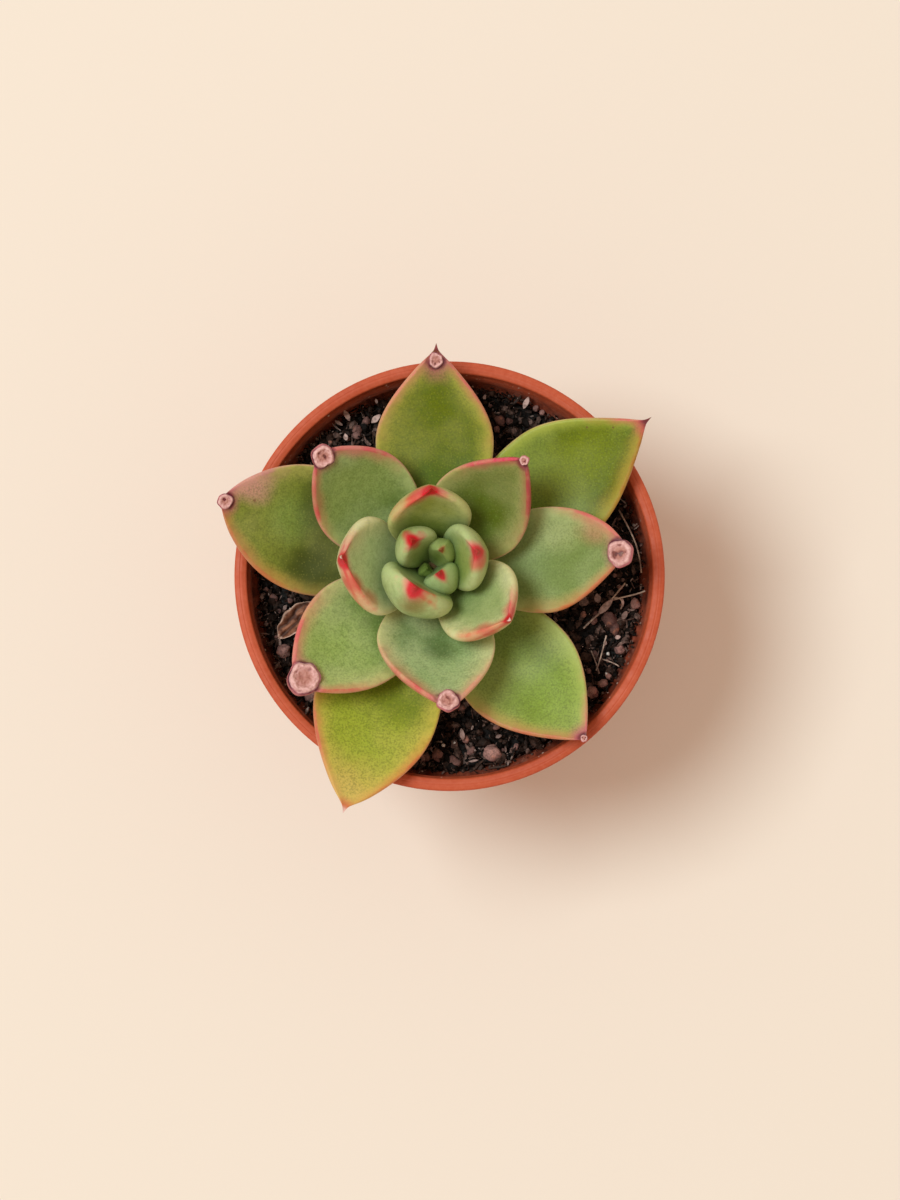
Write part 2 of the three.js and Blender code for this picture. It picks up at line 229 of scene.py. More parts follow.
PAINTS = {
    "leaf_01": Paint(
        (162, 174, 54), (200, 186, 78), (112, 126, 14), (206, 108, 60), (200, 98, 76), 0.6, 0.6, 22, 22,
        0.2, 4.4, bloom=0.03, speckle=1.0, edge=BLUSH,
        spots=(
            Spot(2, 0, 10, (212, 182, 96), 0.75), Spot(0.4, 0, 2.2, (204, 92, 64), 0.85),
            Spot(0, 0, 1.0, BEAD, 0.8),
        )),
    "leaf_02": Paint(
        (92, 108, 0), (166, 178, 70), (120, 144, 56), ROSE, BRONZE, 0.5, 1.2, 10, 24, 0.2, 3.0,
        bloom=0.03, speckle=1.0, edge=PEACH,
        spots=(
            Spot(13, 1.0, 7.5, (122, 136, 0), 0.8, 1.6), Spot(0.6, -0.6, 3.4, (192, 80, 84), 0.85),
            Spot(0, -0.2, 2.0, MAROON, 1.0, soft=0.7), Spot(9.0, 4.6, 0.3, MAROON, 0.7),
            Spot(5.6, 2.2, 0.25, MAROON, 0.7),
        )),
    # leaf_03's near-black deep colour and its two dark olive patches towards the stem are painted shade.
    "leaf_03": Paint(
        (130, 140, 52), (168, 166, 76), (56, 62, 6), (186, 104, 60), (196, 124, 126), 0.9, 1.0, 24, 10,
        0.25, 3.4, deep_start=9.5, bloom=0.05, speckle=1.0, edge=BLUSH,
        spots=(
            Spot(12, -1, 6, (128, 152, 70), 0.6), Spot(17, -5.0, 6.5, (62, 72, 0), 0.85),
            Spot(18, 5.5, 5.5, (60, 68, 8), 0.8), Spot(4, -3.6, 4.0, (212, 150, 140), 0.75, 1.4),
            Spot(5.4, -1.6, 0.45, MAROON, 0.6), Spot(1.2, 0.6, 2.6, (178, 96, 84), 0.6),
        )),
    "leaf_04": Paint(
        (112, 134, 38), (168, 184, 92), (128, 152, 72), (208, 120, 110), (196, 104, 76), 0.5, 0.9, 9, 22,
        0.2, 4.6, bloom=0.05, speckle=1.0, edge=BLUSH,
        spots=(
            Spot(9, 1, 8, (142, 170, 58), 0.6), Spot(1.2, 0.3, 2.6, (190, 84, 106), 0.75),
            Spot(0.8, -0.4, 1.3, (150, 28, 66), 0.85),
        )),
    "leaf_05": Paint(
        (102, 116, 4), (172, 170, 62), (88, 112, 30), (210, 128, 108), (204, 104, 96), 0.7, 0.6, 18, 18,
        0.2, 3.8, deep_start=15.0, bloom=0.05, speckle=1.0, edge=PEACH,
        spots=(
            Spot(3.2, 0, 3.8, (178, 108, 96), 0.75), Spot(2.4, 0, 2.2, (150, 50, 70), 0.7),
            Spot(0, 0, 1.7, MAROON, 1.0, soft=0.6),
        )),
    "leaf_06": Paint(
        (156, 180, 98), (196, 202, 130), (84, 112, 34), (200, 100, 76), (214, 104, 104), 0.6, 0.9, 16, 20,
        0.25, 4.2, deep_start=12.0, edge=BLUSH, speckle=0.8,
        spots=(
            Spot(1.5, 4.2, 2.6, ROSE, 0.7), Spot(3.6, -4.2, 2.6, (206, 126, 112), 0.45),
        )),
    "leaf_07": Paint(
        (122, 142, 74), (172, 186, 118), (118, 142, 72), (206, 96, 92), RUST, 0.6, 0.9, 15, 24, 0.2, 3.6,
        deep_start=15.0, edge=BLUSH, speckle=0.8,
        spots=(
            Spot(5.0, 4.0, 3.4, (206, 126, 110), 0.5, 1.6), Spot(12, 4, 4.0, CREAM, 0.4, 1.6),
        )),
    "leaf_08": Paint(
        (138, 156, 86), (168, 184, 112), (78, 106, 36), (196, 66, 72), (206, 78, 90), 0.8, 0.85, 16, 15,
        0.3, 3.2, deep_start=13.0, edge=(212, 140, 136), speckle=0.8,
        spots=(
            Spot(4.0, -4.2, 2.4, (204, 116, 112), 0.5, 1.5),
            Spot(6.0, 5.4, 2.2, (160, 122, 80), 0.4, 2.0),
        )),
    "leaf_09": Paint(
        (156, 180, 120), (202, 204, 142), (84, 114, 50), (218, 146, 122), (206, 92, 90), 0.9, 1.1, 11, 15,
        0.3, 4.6, deep_start=10.0, edge=PEACH, speckle=0.8,
        spots=(
            Spot(3.0, 0, 4.0, (178, 196, 142), 0.5), Spot(2.0, -2.4, 1.8, ROSE, 0.45),
            # This dark patch is painted shade where younger leaves lie over the leaf.
            Spot(13.0, 0.5, 3.8, (70, 94, 42), 0.7),
        )),
    "leaf_10": Paint(
        (92, 106, 22), (172, 172, 104), (108, 132, 54), (208, 50, 90), (172, 62, 66), 0.75, 0.85, 14, 17,
        0.25, 5.0, deep_start=12.0, edge=BLUSH, speckle=0.8, bloom=0.04,
        spots=(
            Spot(1.5, -0.2, 1.5, (112, 8, 28), 1.0, soft=0.7),
        )),
    "leaf_11": Paint(
        (188, 208, 148), (216, 216, 164), (108, 138, 74), CORAL, ROSE, left_reach=9, right_reach=5,
        **YOUNG_PAINT,
        spots=(
            Spot(5.0, -4.0, 3.6, (206, 212, 160), 0.55), Spot(3.4, 3.4, 2.3, (206, 84, 70), 0.85, 1.5),
            Spot(7.0, 5.0, 1.8, (204, 104, 80), 0.6, 1.6), *red_tip(2.1, 0.8),
            Spot(0, 0, 0.5, BEAD, 1.0, soft=0.5),
        )),
    "leaf_12": Paint(
        (160, 176, 114), (214, 214, 158), (92, 122, 56), ROSE, CORAL, left_reach=6, right_reach=10,
        **YOUNG_PAINT,
        spots=(
            Spot(6.4, 5.0, 2.6, (206, 210, 156), 0.5), Spot(3.4, -3.2, 1.9, (206, 96, 80), 0.7, 1.6),
            Spot(1.6, 1.4, 1.8, (214, 96, 92), 0.7, 1.6), *red_tip(1.3),
            Spot(0, 0, 0.6, BEAD, 1.0, soft=0.5),
        )),
    "leaf_13": Paint(
        (146, 154, 70), (186, 194, 126), (80, 104, 26), CORAL, BLUSH, left_reach=8, right_reach=4,
        **YOUNG_PAINT,
        spots=(
            Spot(5.4, 4.6, 2.6, (192, 186, 124), 0.6), Spot(2.2, 2.2, 2.4, (206, 76, 66), 0.8, 1.2),
            Spot(1.8, -1.8, 1.7, (208, 116, 92), 0.6), *red_tip(2.4, 0.3),
        )),
    "leaf_14": Paint(
        MINT, (180, 200, 138), FERN, CORAL, BLUSH, left_reach=4, right_reach=3, **HEART_PAINT,
        spots=(
            Spot(3.4, 0.8, 3.2, (128, 108, 44), 0.8), Spot(0.9, 2.6, 1.8, (206, 108, 84), 0.7, 0.8),
            Spot(0.8, -1.8, 1.7, (222, 132, 116), 0.7), *red_tip(1.9),
        )),
    "leaf_15": Paint(
        (148, 164, 88), (178, 198, 136), FERN, ROSE, CORAL, left_reach=3, right_reach=3.5, **HEART_PAINT,
        spots=(
            Spot(1.8, -1.6, 1.9, (204, 92, 74), 0.75, 1.4), Spot(1.0, 1.4, 1.5, (220, 140, 124), 0.6),
            *red_tip(1.95),
        )),
    "leaf_16": Paint(
        (150, 168, 98), (178, 198, 136), FERN, ROSE, ROSE, left_reach=2.6, right_reach=2.6, **HEART_PAINT,
        spots=(
            Spot(1.8, 0, 1.4, (196, 64, 60), 0.8, 1.9), *red_tip(1.6),
        )),
    "leaf_17": Paint(
        (154, 176, 110), MINT, FERN, MINT, MINT, left_reach=1.0, right_reach=1.0, **HEART_PAINT,
        spots=(
            Spot(0.3, 0, 1.7, (206, 122, 82), 0.7), *red_tip(1.0),
        )),
    "leaf_18": Paint(
        (126, 146, 62), (150, 168, 96), (84, 106, 30), MINT, MINT, left_reach=0.5, right_reach=0.5,
        **HEART_PAINT,
        spots=(
            Spot(0.3, 0, 1.1, (190, 118, 72), 0.7), Spot(0.3, 0, 0.7, (150, 60, 30), 0.9, soft=0.6),
        )),
    "leaf_19": Paint(
        (96, 118, 30), (110, 132, 50), (80, 100, 24), MOSS, MOSS, left_reach=0.5, right_reach=0.5,
        **HEART_PAINT),
}


def clamp01(x):
    return max(0.0, min(1.0, x))


def ease(low, high, x):
    share = clamp01((x - low) / (high - low))
    return share * share * (3 - 2 * share)


def lerp(low, high, share):
    return low + (high - low) * share


# Leaf shape


def seat(leaf):
    """Where a leaf sits on the stem: its distance from the axis and its height over the rim."""
    age = LEAVES.index(leaf) / (len(LEAVES) - 1)
    radius = lerp(SEAT_RADIUS_LOW, SEAT_RADIUS_HIGH, age ** 1.35)
    height = lerp(SEAT_HIGH, SEAT_LOW, (1 - age) ** 1.15)
    return Vector((radius, height))


def midrib(leaf, t):
    """The midrib in the upright plane of the leaf: its place, its direction and its length."""
    start = seat(leaf)
    end = Vector((leaf.reach, leaf.rise))
    chord = end - start
    up = Vector((-chord.y, chord.x)).normalized()
    middle = (start + end) / 2 - up * 2 * leaf.sag
    place = start * (1 - t) ** 2 + middle * 2 * t * (1 - t) + end * t ** 2
    along = ((middle - start) * (1 - t) + (end - middle) * t).normalized()
    return place, along, chord.length


def butt(t):
    """How far the seated end has opened from its rounded start."""
    return math.sqrt(clamp01(1 - (1 - clamp01(t / BUTT_LENGTH)) ** 2))


def half_width(leaf, t, length, across=0.0):
    """Half the width at share t of the length. A lean makes the right side straighter by the tip."""
    lower = lerp(BUTT_WIDTH, 1.0, math.sin(math.pi / 2 * clamp01(t / leaf.widest)) ** 1.15)
    blunt = leaf.blunt * (1 - leaf.lean * across)
    upper = math.sin(math.pi / 2 * clamp01((1 - t) / (1 - leaf.widest)) ** blunt)
    share = lower if t < leaf.widest else upper
    if not leaf.scar or leaf.pointed:
        share *= 1 - PINCH * math.exp(-(((1 - t) * length / PINCH_MM) ** 2))
    return leaf.width / 2 * share * butt(t)


def half_depth(leaf, t):
    lower = 0.5 + 0.5 * math.sin(math.pi / 2 * clamp01(t / THICKEST))
    upper = math.sin(math.pi / 2 * clamp01((1 - t) / (1 - THICKEST)) ** 0.9)
    return leaf.depth * (lower if t < THICKEST else upper) * butt(t)


def section_lift(leaf, t, across, above, width, depth):
    """Height of the skin over the midrib: a dished face, rounded margins and a keeled back."""
    side = abs(across)
    roll = min(leaf.roll, 0.45 * depth, 0.45 * width)
    crown = leaf.crown * depth
    if above:
        over = clamp01((side * width - (width - roll)) / roll) if roll > 1e-6 else 0.0
        lift = crown - roll * (1 - math.sqrt(1 - over * over))
    else:
        keel = 0.45 * ease(0.35, 0.95, t)
        edge = crown - roll
        lift = edge - (depth + edge) * math.sqrt(max(0.0, 1 - side * side)) * (1 - keel * side)
    return lift + leaf.cup * math.sin(math.pi * t) ** 0.8 * (side ** 2.2 - 0.3)


def to_world(leaf, out, aside, height):
    """A place in a leaf's own directions as a point over the table, in millimetres."""
    turn = math.radians(leaf.heading)
    return Vector((
        AXIS_X + out * math.cos(turn) - aside * math.sin(turn),
        AXIS_Y + out * math.sin(turn) + aside * math.cos(turn),
        RIM + height,
    ))


def skin(leaf, t, across, above):
    """A point of a leaf's skin, the leaf's upward direction there and its half width."""
    place, along, length = midrib(leaf, t)
    width = half_width(leaf, t, length, across)
    depth = half_depth(leaf, t)
    lift = section_lift(leaf, t, across, above, width, depth)
    swell = noise.noise(Vector((leaf.heading, 3.1 * t, 1.7 * across)))
    lift += SWELL_MM * swell * math.sin(math.pi * t) * (0.3 + across * across)
    out = place.x - along.y * lift
    height = place.y + along.x * lift
    aside = width * across + leaf.sway * t * t
    turn = math.radians(leaf.heading)
    up = Vector((-along.y * math.cos(turn), -along.y * math.sin(turn), along.x))
    return to_world(leaf, out, aside, height), up, width


def press_depth(point, up, thick, younger):
    """How far a point has to sink to lie clear under the younger leaves."""
    down = -up
    sink = 0.0
    for tree in younger:
        start = (point + up * thick * 0.2) * MM
        hit, normal, _, distance = tree.ray_cast(start, down, PRESS_REACH_MM * MM)
        if hit is not None and normal.dot(down) > 0:
            sink = max(sink, distance / MM - thick * 0.2 + CLEARANCE)
    return max(0.0, sink)


def scar_seat(leaf):
    """Centre and direction of the corky disc on a cut tip."""
    _, _, length = midrib(leaf, 0.0)
    t = 1 - leaf.back / length
    top, _, _ = skin(leaf, t, 0.0, True)
    bottom, _, _ = skin(leaf, t, 0.0, False)
    up = (top - bottom).normalized().lerp(Vector((0, 0, 1)), 0.6).normalized()
    return top, up


# How far from a younger leaf the painted shade on the skin still reaches, and the small point that ends a
# leaf, in millimetres. Scar room is in radii of the scar.
NEAR = 4.0
MUCRO_REACH = 0.55
MUCRO_RADIUS = 0.5
SCAR_ROOM = 1.15


def tuck_under_scar(leaf, spot, middle, up):
    """Keeps the tip of a cut leaf below its scar."""
    offset = spot - middle
    height = offset.dot(up)
    radius = (offset - up * height).length / leaf.scar
    room = ease(1.5, SCAR_ROOM, radius)
    limit = -0.12 * leaf.scar
    return spot + up * min(0.0, limit - height) * room


def blade(leaf, younger):
    """The fine blade of a leaf as a bmesh, pressed in where younger leaves lie on it."""
    mesh = bmesh.new()
    bmesh.ops.create_uvsphere(mesh, u_segments=BLADE_SIDES, v_segments=BLADE_STEPS, radius=1)
    layers = {n: mesh.verts.layers.float.new(n) for n in ("rim", "back", "left", "scar", "near")}
    tip = skin(leaf, 1.0, 0.0, True)[0]
    beside_tip = skin(leaf, 0.9, 0.0, True)[0]
    outward = (tip - beside_tip).normalized()
    length = midrib(leaf, 0.0)[2]
    middle, scar_up = scar_seat(leaf)
    for vert in mesh.verts:
        t = clamp01((1 - vert.co.z) / 2)
        ring = math.hypot(vert.co.x, vert.co.y)
        across = vert.co.x / ring if ring > 1e-6 else 0.0
        above = vert.co.y <= 0 or ring <= 1e-6
        spot, up, width = skin(leaf, t, across, above)
        top = spot if above else skin(leaf, t, across, True)[0]
        thick = (top - spot).length
        sink = press_depth(top, up, leaf.depth, younger)
        if not above:
            sink = max(0.0, sink + min(thick, PRESSED_THIN_MM) - thick)
        spot -= up * sink
        vert[layers["rim"]] = width * (1 - abs(across)) * (1 if above else -1)
        vert[layers["back"]] = (1 - t) * length
        vert[layers["left"]] = width * across
        if leaf.scar:
            vert[layers["scar"]] = (spot - middle).length - leaf.scar
            spot = tuck_under_scar(leaf, spot, middle, scar_up)
        else:
            vert[layers["scar"]] = NO_SCAR
        if leaf.pointed or not leaf.scar:
            near = (spot - tip).length / MUCRO_RADIUS
            spot += outward * MUCRO_REACH * math.exp(-near * near)
        vert.co = spot * MM
        # The distance to the nearest younger leaf, which the skin takes for its painted shade.
        found = [tree.find_nearest(vert.co, NEAR * MM)[3] for tree in younger]
        vert[layers["near"]] = min([NEAR] + [distance / MM for distance in found if distance is not None])
    bmesh.ops.recalc_face_normals(mesh, faces=mesh.faces)
    return mesh


def new_object(name, data):
    made = bpy.data.objects.new(name, data)
    bpy.context.scene.collection.objects.link(made)
    return made


def object_of(name, mesh):
    """Turns a bmesh into an object of the scene."""
    data = bpy.data.meshes.new(name)
    mesh.to_mesh(data)
    mesh.free()
    return new_object(name, data)


def finish_piece(name, mesh, material, slot, *nodes, smooth=True):
    """Turns a bmesh into a piece that rides on the one body."""
    piece = object_of(name, mesh)
    piece.data.materials.append(material)
    if smooth:
        piece.data.shade_smooth()
    else:
        piece.data.shade_flat()
    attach(piece, "root")
    if nodes:
        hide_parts(*nodes)
    return piece


# Shader helpers


class Tree:
    """A node tree with short calls for the nodes that the finishes share."""

    def __init__(self, tree):
        self.tree = tree

    def add(self, kind, **settings):
        node = self.tree.nodes.new(kind)
        for key, value in settings.items():
            setattr(node, key, value)
        return node

    def join(self, source, target):
        """Links an output to an input, or gives the input a number or a colour of 0 to 255."""
        if isinstance(source, tuple):
            target.default_value = srgb(*source)
        elif isinstance(source, (int, float)):
            target.default_value = source
        else:
            self.tree.links.new(source, target)

    def attribute(self, name):
        return self.add("ShaderNodeAttribute", attribute_name=name).outputs["Fac"]

    def math(self, operation, a, b=0.0):
        node = self.add("ShaderNodeMath", operation=operation)
        self.join(a, node.inputs[0])
        self.join(b, node.inputs[1])
        return node.outputs[0]

    def plus(self, a, b):
        return self.math("ADD", a, b)

    def minus(self, a, b):
        return self.math("SUBTRACT", a, b)

    def times(self, a, b):
        return self.math("MULTIPLY", a, b)

    def ramp(self, value, low, high, out_low=0.0, out_high=1.0):
        node = self.add("ShaderNodeMapRange", interpolation_type="SMOOTHSTEP")
        self.join(value, node.inputs["Value"])
        self.join(low, node.inputs["From Min"])
        self.join(high, node.inputs["From Max"])
        self.join(out_low, node.inputs["To Min"])
        self.join(out_high, node.inputs["To Max"])
        return node.outputs["Result"]

    def mix(self, factor, a, b):
        node = self.add("ShaderNodeMix", data_type="RGBA")
        self.join(factor, node.inputs["Factor"])
        self.join(a, node.inputs["A"])
        self.join(b, node.inputs["B"])
        return node.outputs["Result"]

    def coats(self, colour, *coats):
        """Lays coats over a colour, each in the strength that its own ramp gives."""
        for value, low, high, out_low, out_high, coat in coats:
            colour = self.mix(self.ramp(value, low, high, out_low, out_high), colour, coat)
        return colour

    def place(self):
        return self.add("ShaderNodeTexCoord").outputs["Object"]

    def noise(self, scale, detail=2.0, rough=0.5):
        node = self.add("ShaderNodeTexNoise")
        self.join(self.place(), node.inputs["Vector"])
        node.inputs["Scale"].default_value = scale
        node.inputs["Detail"].default_value = detail
        node.inputs["Roughness"].default_value = rough
        return node.outputs["Fac"]

    def cells(self, scale):
        node = self.add("ShaderNodeTexVoronoi")
        self.join(self.place(), node.inputs["Vector"])
        node.inputs["Scale"].default_value = scale
        return node.outputs["Distance"]


COLOUR = "NodeSocketColor"
FLOAT = "NodeSocketFloat"


def new_group(name, inputs, outputs):
    """A shader group with its sockets: inputs as {name: value} and outputs as {name: kind}."""
    group = bpy.data.node_groups.new(name, "ShaderNodeTree")
    for label, value in inputs.items():
        kind = COLOUR if isinstance(value, tuple) else FLOAT
        socket = group.interface.new_socket(label, in_out="INPUT", socket_type=kind)
        socket.default_value = srgb(*value) if kind == COLOUR else value
    for label, kind in outputs.items():
        group.interface.new_socket(label, in_out="OUTPUT", socket_type=kind)
    tree = Tree(group)
    return group, tree, tree.add("NodeGroupInput").outputs, tree.add("NodeGroupOutput").inputs


def new_material(name, roughness, specular=0.4, subsurface=0.0, radius=(1, 1, 1)):
    """A material with one Principled shader, and its tree and shader inputs."""
    material = bpy.data.materials.new(name)
    material.use_nodes = True
    shader = material.node_tree.nodes["Principled BSDF"]
    shader.inputs["Roughness"].default_value = roughness
    shader.inputs["Specular IOR Level"].default_value = specular
    shader.inputs["Subsurface Weight"].default_value = subsurface
    shader.inputs["Subsurface Scale"].default_value = MM
    shader.inputs["Subsurface Radius"].default_value = radius
    return material, Tree(material.node_tree), shader.inputs


def dress(tree, shader, colour, relief, strength, depth):
    """Gives a shader its colour and its fine relief, which is so many millimetres deep."""
    tree.join(colour, shader["Base Color"])
    node = tree.add("ShaderNodeBump")
    tree.join(relief, node.inputs["Height"])
    tree.join(strength, node.inputs["Strength"])
    tree.join(depth * MM, node.inputs["Distance"])
    tree.join(node.outputs["Normal"], shader["Normal"])


def leaf_skin_group():
    """A green face with a pale border, deeper by the stem (partly as painted shade), with painted shade
    beside younger leaves, a pale margin line that is partly a painted highlight, and a tinted line inside
    each margin.
    """
    group, tree, given, out = new_group("Leaf skin", {
        "Face": MINT,
        "Border": MINT,
        "Deep": FERN,
        "Edge": CREAM,
        "Left Margin": ROSE,
        "Right Margin": ROSE,
        "Left Width": 0.6,
        "Right Width": 0.6,
        "Left Reach": 14.0,
        "Right Reach": 14.0,
        "Inset": 0.4,
        "Border Width": 3.5,
        "Deep Start": 14.0,
    }, {"Color": COLOUR})
    rim = tree.math("ABSOLUTE", tree.attribute("rim"))
    left = tree.attribute("left")
    back = tree.attribute("back")
    cloud = tree.minus(tree.noise(300, 3), 0.5)
    wavy = tree.plus(rim, tree.times(cloud, 1.6))
    distance = tree.plus(back, tree.times(cloud, 8.0))
    near = tree.plus(tree.attribute("near"), tree.times(cloud, 1.5))
    colour = tree.coats(
        given["Face"],
        # Deeper green towards the stem: partly the leaf's own colour, partly painted shade.
        (distance, given["Deep Start"], tree.plus(given["Deep Start"], 8.0), 0.0, 0.85, given["Deep"]),
        (wavy, 0.3, given["Border Width"], 0.95, 0.0, given["Border"]),
        (tree.noise(110, 2), 0.42, 0.7, 0.0, 0.34, given["Border"]),
        (tree.noise(900, 3, 0.6), 0.34, 0.56, 0.22, 0.0, given["Deep"]),
        # Painted shade where a younger leaf lies close over the skin, darkest right beside it.
        (near, 0.0, 2.6, 0.5, 0.0, given["Deep"]),
        (near, -0.2, 0.9, 0.4, 0.0, (50, 62, 14)),
    )
    side = tree.ramp(left, -0.3, 0.3)
    tint = tree.mix(side, given["Right Margin"], given["Left Margin"])
    width = tree.ramp(left, -0.3, 0.3, given["Right Width"], given["Left Width"])
    reach = tree.ramp(left, -0.3, 0.3, given["Right Reach"], given["Left Reach"])
    crisp = tree.plus(rim, tree.times(cloud, 0.5))
    beside = tree.math("ABSOLUTE", tree.minus(crisp, given["Inset"]))
    line = tree.ramp(beside, tree.times(width, 0.15), width, 1.0, 0.0)
    line = tree.times(line, tree.ramp(tree.noise(380, 3, 0.6), 0.32, 0.6, 0.66, 1.0))
    haze = tree.ramp(wavy, given["Inset"], tree.times(width, 3.6), 0.58, 0.0)
    fade = tree.ramp(distance, tree.times(reach, 0.35), reach, 1.0, 0.06)
    margin = tree.times(tree.math("MAXIMUM", line, haze), fade)
    # A thin pale line right on the margin: partly the margin's own pale colour, partly a painted highlight.
    outer = tree.ramp(crisp, 0.0, tree.times(given["Inset"], 1.4), 0.6, 0.0)
    colour = tree.mix(outer, colour, given["Edge"])
    tree.join(tree.mix(margin, colour, tint), out["Color"])
    return group


def leaf_spot_group():
    """A soft patch of colour at a place given in millimetres on the leaf."""
    group, tree, given, out = new_group("Leaf spot", {
        "Color": MINT,
        "Tint": ROSE,
        "Back": 0.0,
        "Left": 0.0,
        "Radius": 1.0,
        "Amount": 0.8,
        "Stretch": 1.0,
        "Soft": 0.85,
    }, {"Color": COLOUR})
    along = tree.minus(tree.attribute("back"), given["Back"])
    along = tree.math("DIVIDE", along, given["Stretch"])
    beside = tree.minus(tree.attribute("left"), given["Left"])
    away = tree.math("SQRT", tree.plus(tree.times(along, along),
                                       tree.times(beside, beside)))
    cloud = tree.minus(tree.noise(420, 3), 0.5)
    share = tree.plus(tree.math("DIVIDE", away, given["Radius"]), tree.times(cloud, 0.4))
    mask = tree.ramp(share, tree.minus(1.0, given["Soft"]), 1.0, 1.0, 0.0)
    tree.join(tree.mix(tree.times(mask, given["Amount"]), given["Color"], given["Tint"]),
              out["Color"])
    return group


def leaf_grain_group():
    """Fine pale dots and darker grain, a waxy bloom, and the flush around a scar."""
    group, tree, given, out = new_group("Leaf grain", {
        "Color": MINT,
        "Dots": CREAM,
        "Speckle": 0.5,
        "Bloom": 0.1,
    }, {"Color": COLOUR, "Roughness": FLOAT, "Height": FLOAT})
    scar = tree.attribute("scar")
    uneven = tree.ramp(tree.noise(330, 2), 0.38, 0.6, 0.4, 1.0)
    haze = tree.ramp(scar, 0.2, 1.9, 0.55, 0.0)
    colour = tree.mix(tree.times(haze, uneven), given["Color"], (186, 104, 112))
    ring = tree.times(tree.ramp(scar, 0.15, 0.8, 1.0, 0.0), uneven)
    colour = tree.mix(ring, colour, MAROON)
    dots = tree.ramp(tree.cells(2300), 0.06, 0.42, 1.0, 0.0)
    grain = tree.noise(3300, 2)
    cloud = tree.noise(260, 3)
    inside = tree.ramp(tree.math("ABSOLUTE", tree.attribute("rim")), 0.8, 2.6, 0.25, 1.0)
    speckle = tree.times(given["Speckle"], inside)
    colour = tree.mix(tree.times(dots, tree.times(speckle, 0.26)), colour,
                      given["Dots"])
    dark = tree.times(tree.ramp(grain, 0.3, 0.62, 0.42, 0.0), speckle)
    colour = tree.mix(dark, colour, (74, 84, 28))
    wax = tree.times(given["Bloom"], tree.ramp(tree.noise(110, 2), 0.3, 0.8))
    colour = tree.mix(wax, colour, (206, 218, 200))
    tree.join(colour, out["Color"])
    tree.join(tree.ramp(cloud, 0.3, 0.7, 0.36, 0.48), out["Roughness"])
    tree.join(tree.plus(tree.times(dots, 0.4), grain), out["Height"])
    return group


LEAF_SKIN = leaf_skin_group()
LEAF_SPOT = leaf_spot_group()
LEAF_GRAIN = leaf_grain_group()


def placed_group(tree, group, paint, **others):
    """Places a group in a material. Each of its inputs takes the value of the same name."""
    node = tree.add("ShaderNodeGroup", node_tree=group)
    values = {**vars(paint), **others}
    for socket in node.inputs:
        tree.join(values[socket.name.lower().replace(" ", "_")], socket)
    return node.outputs


def leaf_material(leaf):
    paint = PAINTS[leaf.name]
    material, tree, shader = new_material(leaf.name + "_skin", 0.45, 0.22, 0.15, (1.0, 1.0, 0.4))
    colour = placed_group(tree, LEAF_SKIN, paint, edge=paint.edge or paint.border)["Color"]
    for spot in paint.spots:
        colour = placed_group(tree, LEAF_SPOT, spot, color=colour)["Color"]
    grain = placed_group(tree, LEAF_GRAIN, paint, color=colour, dots=paint.border)
    tree.join(grain["Roughness"], shader["Roughness"])
    dress(tree, shader, grain["Color"], grain["Height"], 0.3, 0.025)
    return material


def make_leaves():
    """All leaves, the youngest first, so that each older one can be pressed by them."""
    younger = []
    for leaf in reversed(LEAVES):
        mesh = blade(leaf, younger)
        younger.append(BVHTree.FromBMesh(mesh))
        finish_piece(leaf.name + "_blade", mesh, leaf_material(leaf), leaf.slot, leaf.name)


# Scars


# The collar of a scar in radii, and how far round from its middle its face and its lip end
COLLAR_SHARE = 1.07
SCAR_FACE = 0.7
SCAR_LIP = 0.82


def scar_material():
    """Pale pink cork, lumpy at the rim and pitted in the middle, flushed where it meets the leaf."""
    material, tree, shader = new_material("corky_scar", 0.6, 0.35)
    ring = tree.attribute("ring")
    cloud = tree.minus(tree.noise(900, 4, 0.65), 0.5)
    soft = tree.noise(2200, 3, 0.6)
    flush = tree.mix(tree.ramp(tree.noise(330, 2), 0.4, 0.6), (190, 112, 122), (104, 30, 54))
    colour = tree.coats(
        (184, 130, 118),
        (tree.plus(ring, tree.times(cloud, 0.4)), 0.35, 0.72, 0.0, 1.0, (226, 180, 176)),
        (soft, 0.36, 0.62, 0.45, 0.0, (176, 116, 110)),
        (tree.attribute("lump"), -0.16, -0.03, 0.85, 0.0, (128, 70, 64)),
        (tree.plus(ring, tree.times(cloud, 0.3)), 0.9, 1.06, 0.0, 1.0, flush),
        (ring, 1.1, 1.5, 0.0, 1.0, (186, 104, 100)),
    )
    dress(tree, shader, colour, soft, 0.5, 0.12)
    return material


def scar_profile(fall):
    """Share of the scar's radius, and height in radii, from its middle round to its underside."""
    if fall < SCAR_FACE:
        share = math.sin(math.pi / 2 * fall / SCAR_FACE)
        swell = math.exp(-(((share - 0.76) / 0.2) ** 2))
        edge = 1 - math.sqrt(max(0.0, 1 - clamp01((share - 0.8) / 0.2) ** 2))
        return share, 0.2 * swell - 0.16 * edge
    if fall < SCAR_LIP:
        lip = (fall - SCAR_FACE) / (SCAR_LIP - SCAR_FACE)
        return 1 + (COLLAR_SHARE - 1) * math.sin(math.pi / 2 * lip), 0.03 - 0.33 * lip ** 2
    under = (fall - SCAR_LIP) / (1 - SCAR_LIP)
    return COLLAR_SHARE * math.cos(math.pi / 2 * under), -0.3 - 0.55 * math.sin(math.pi / 2 * under)


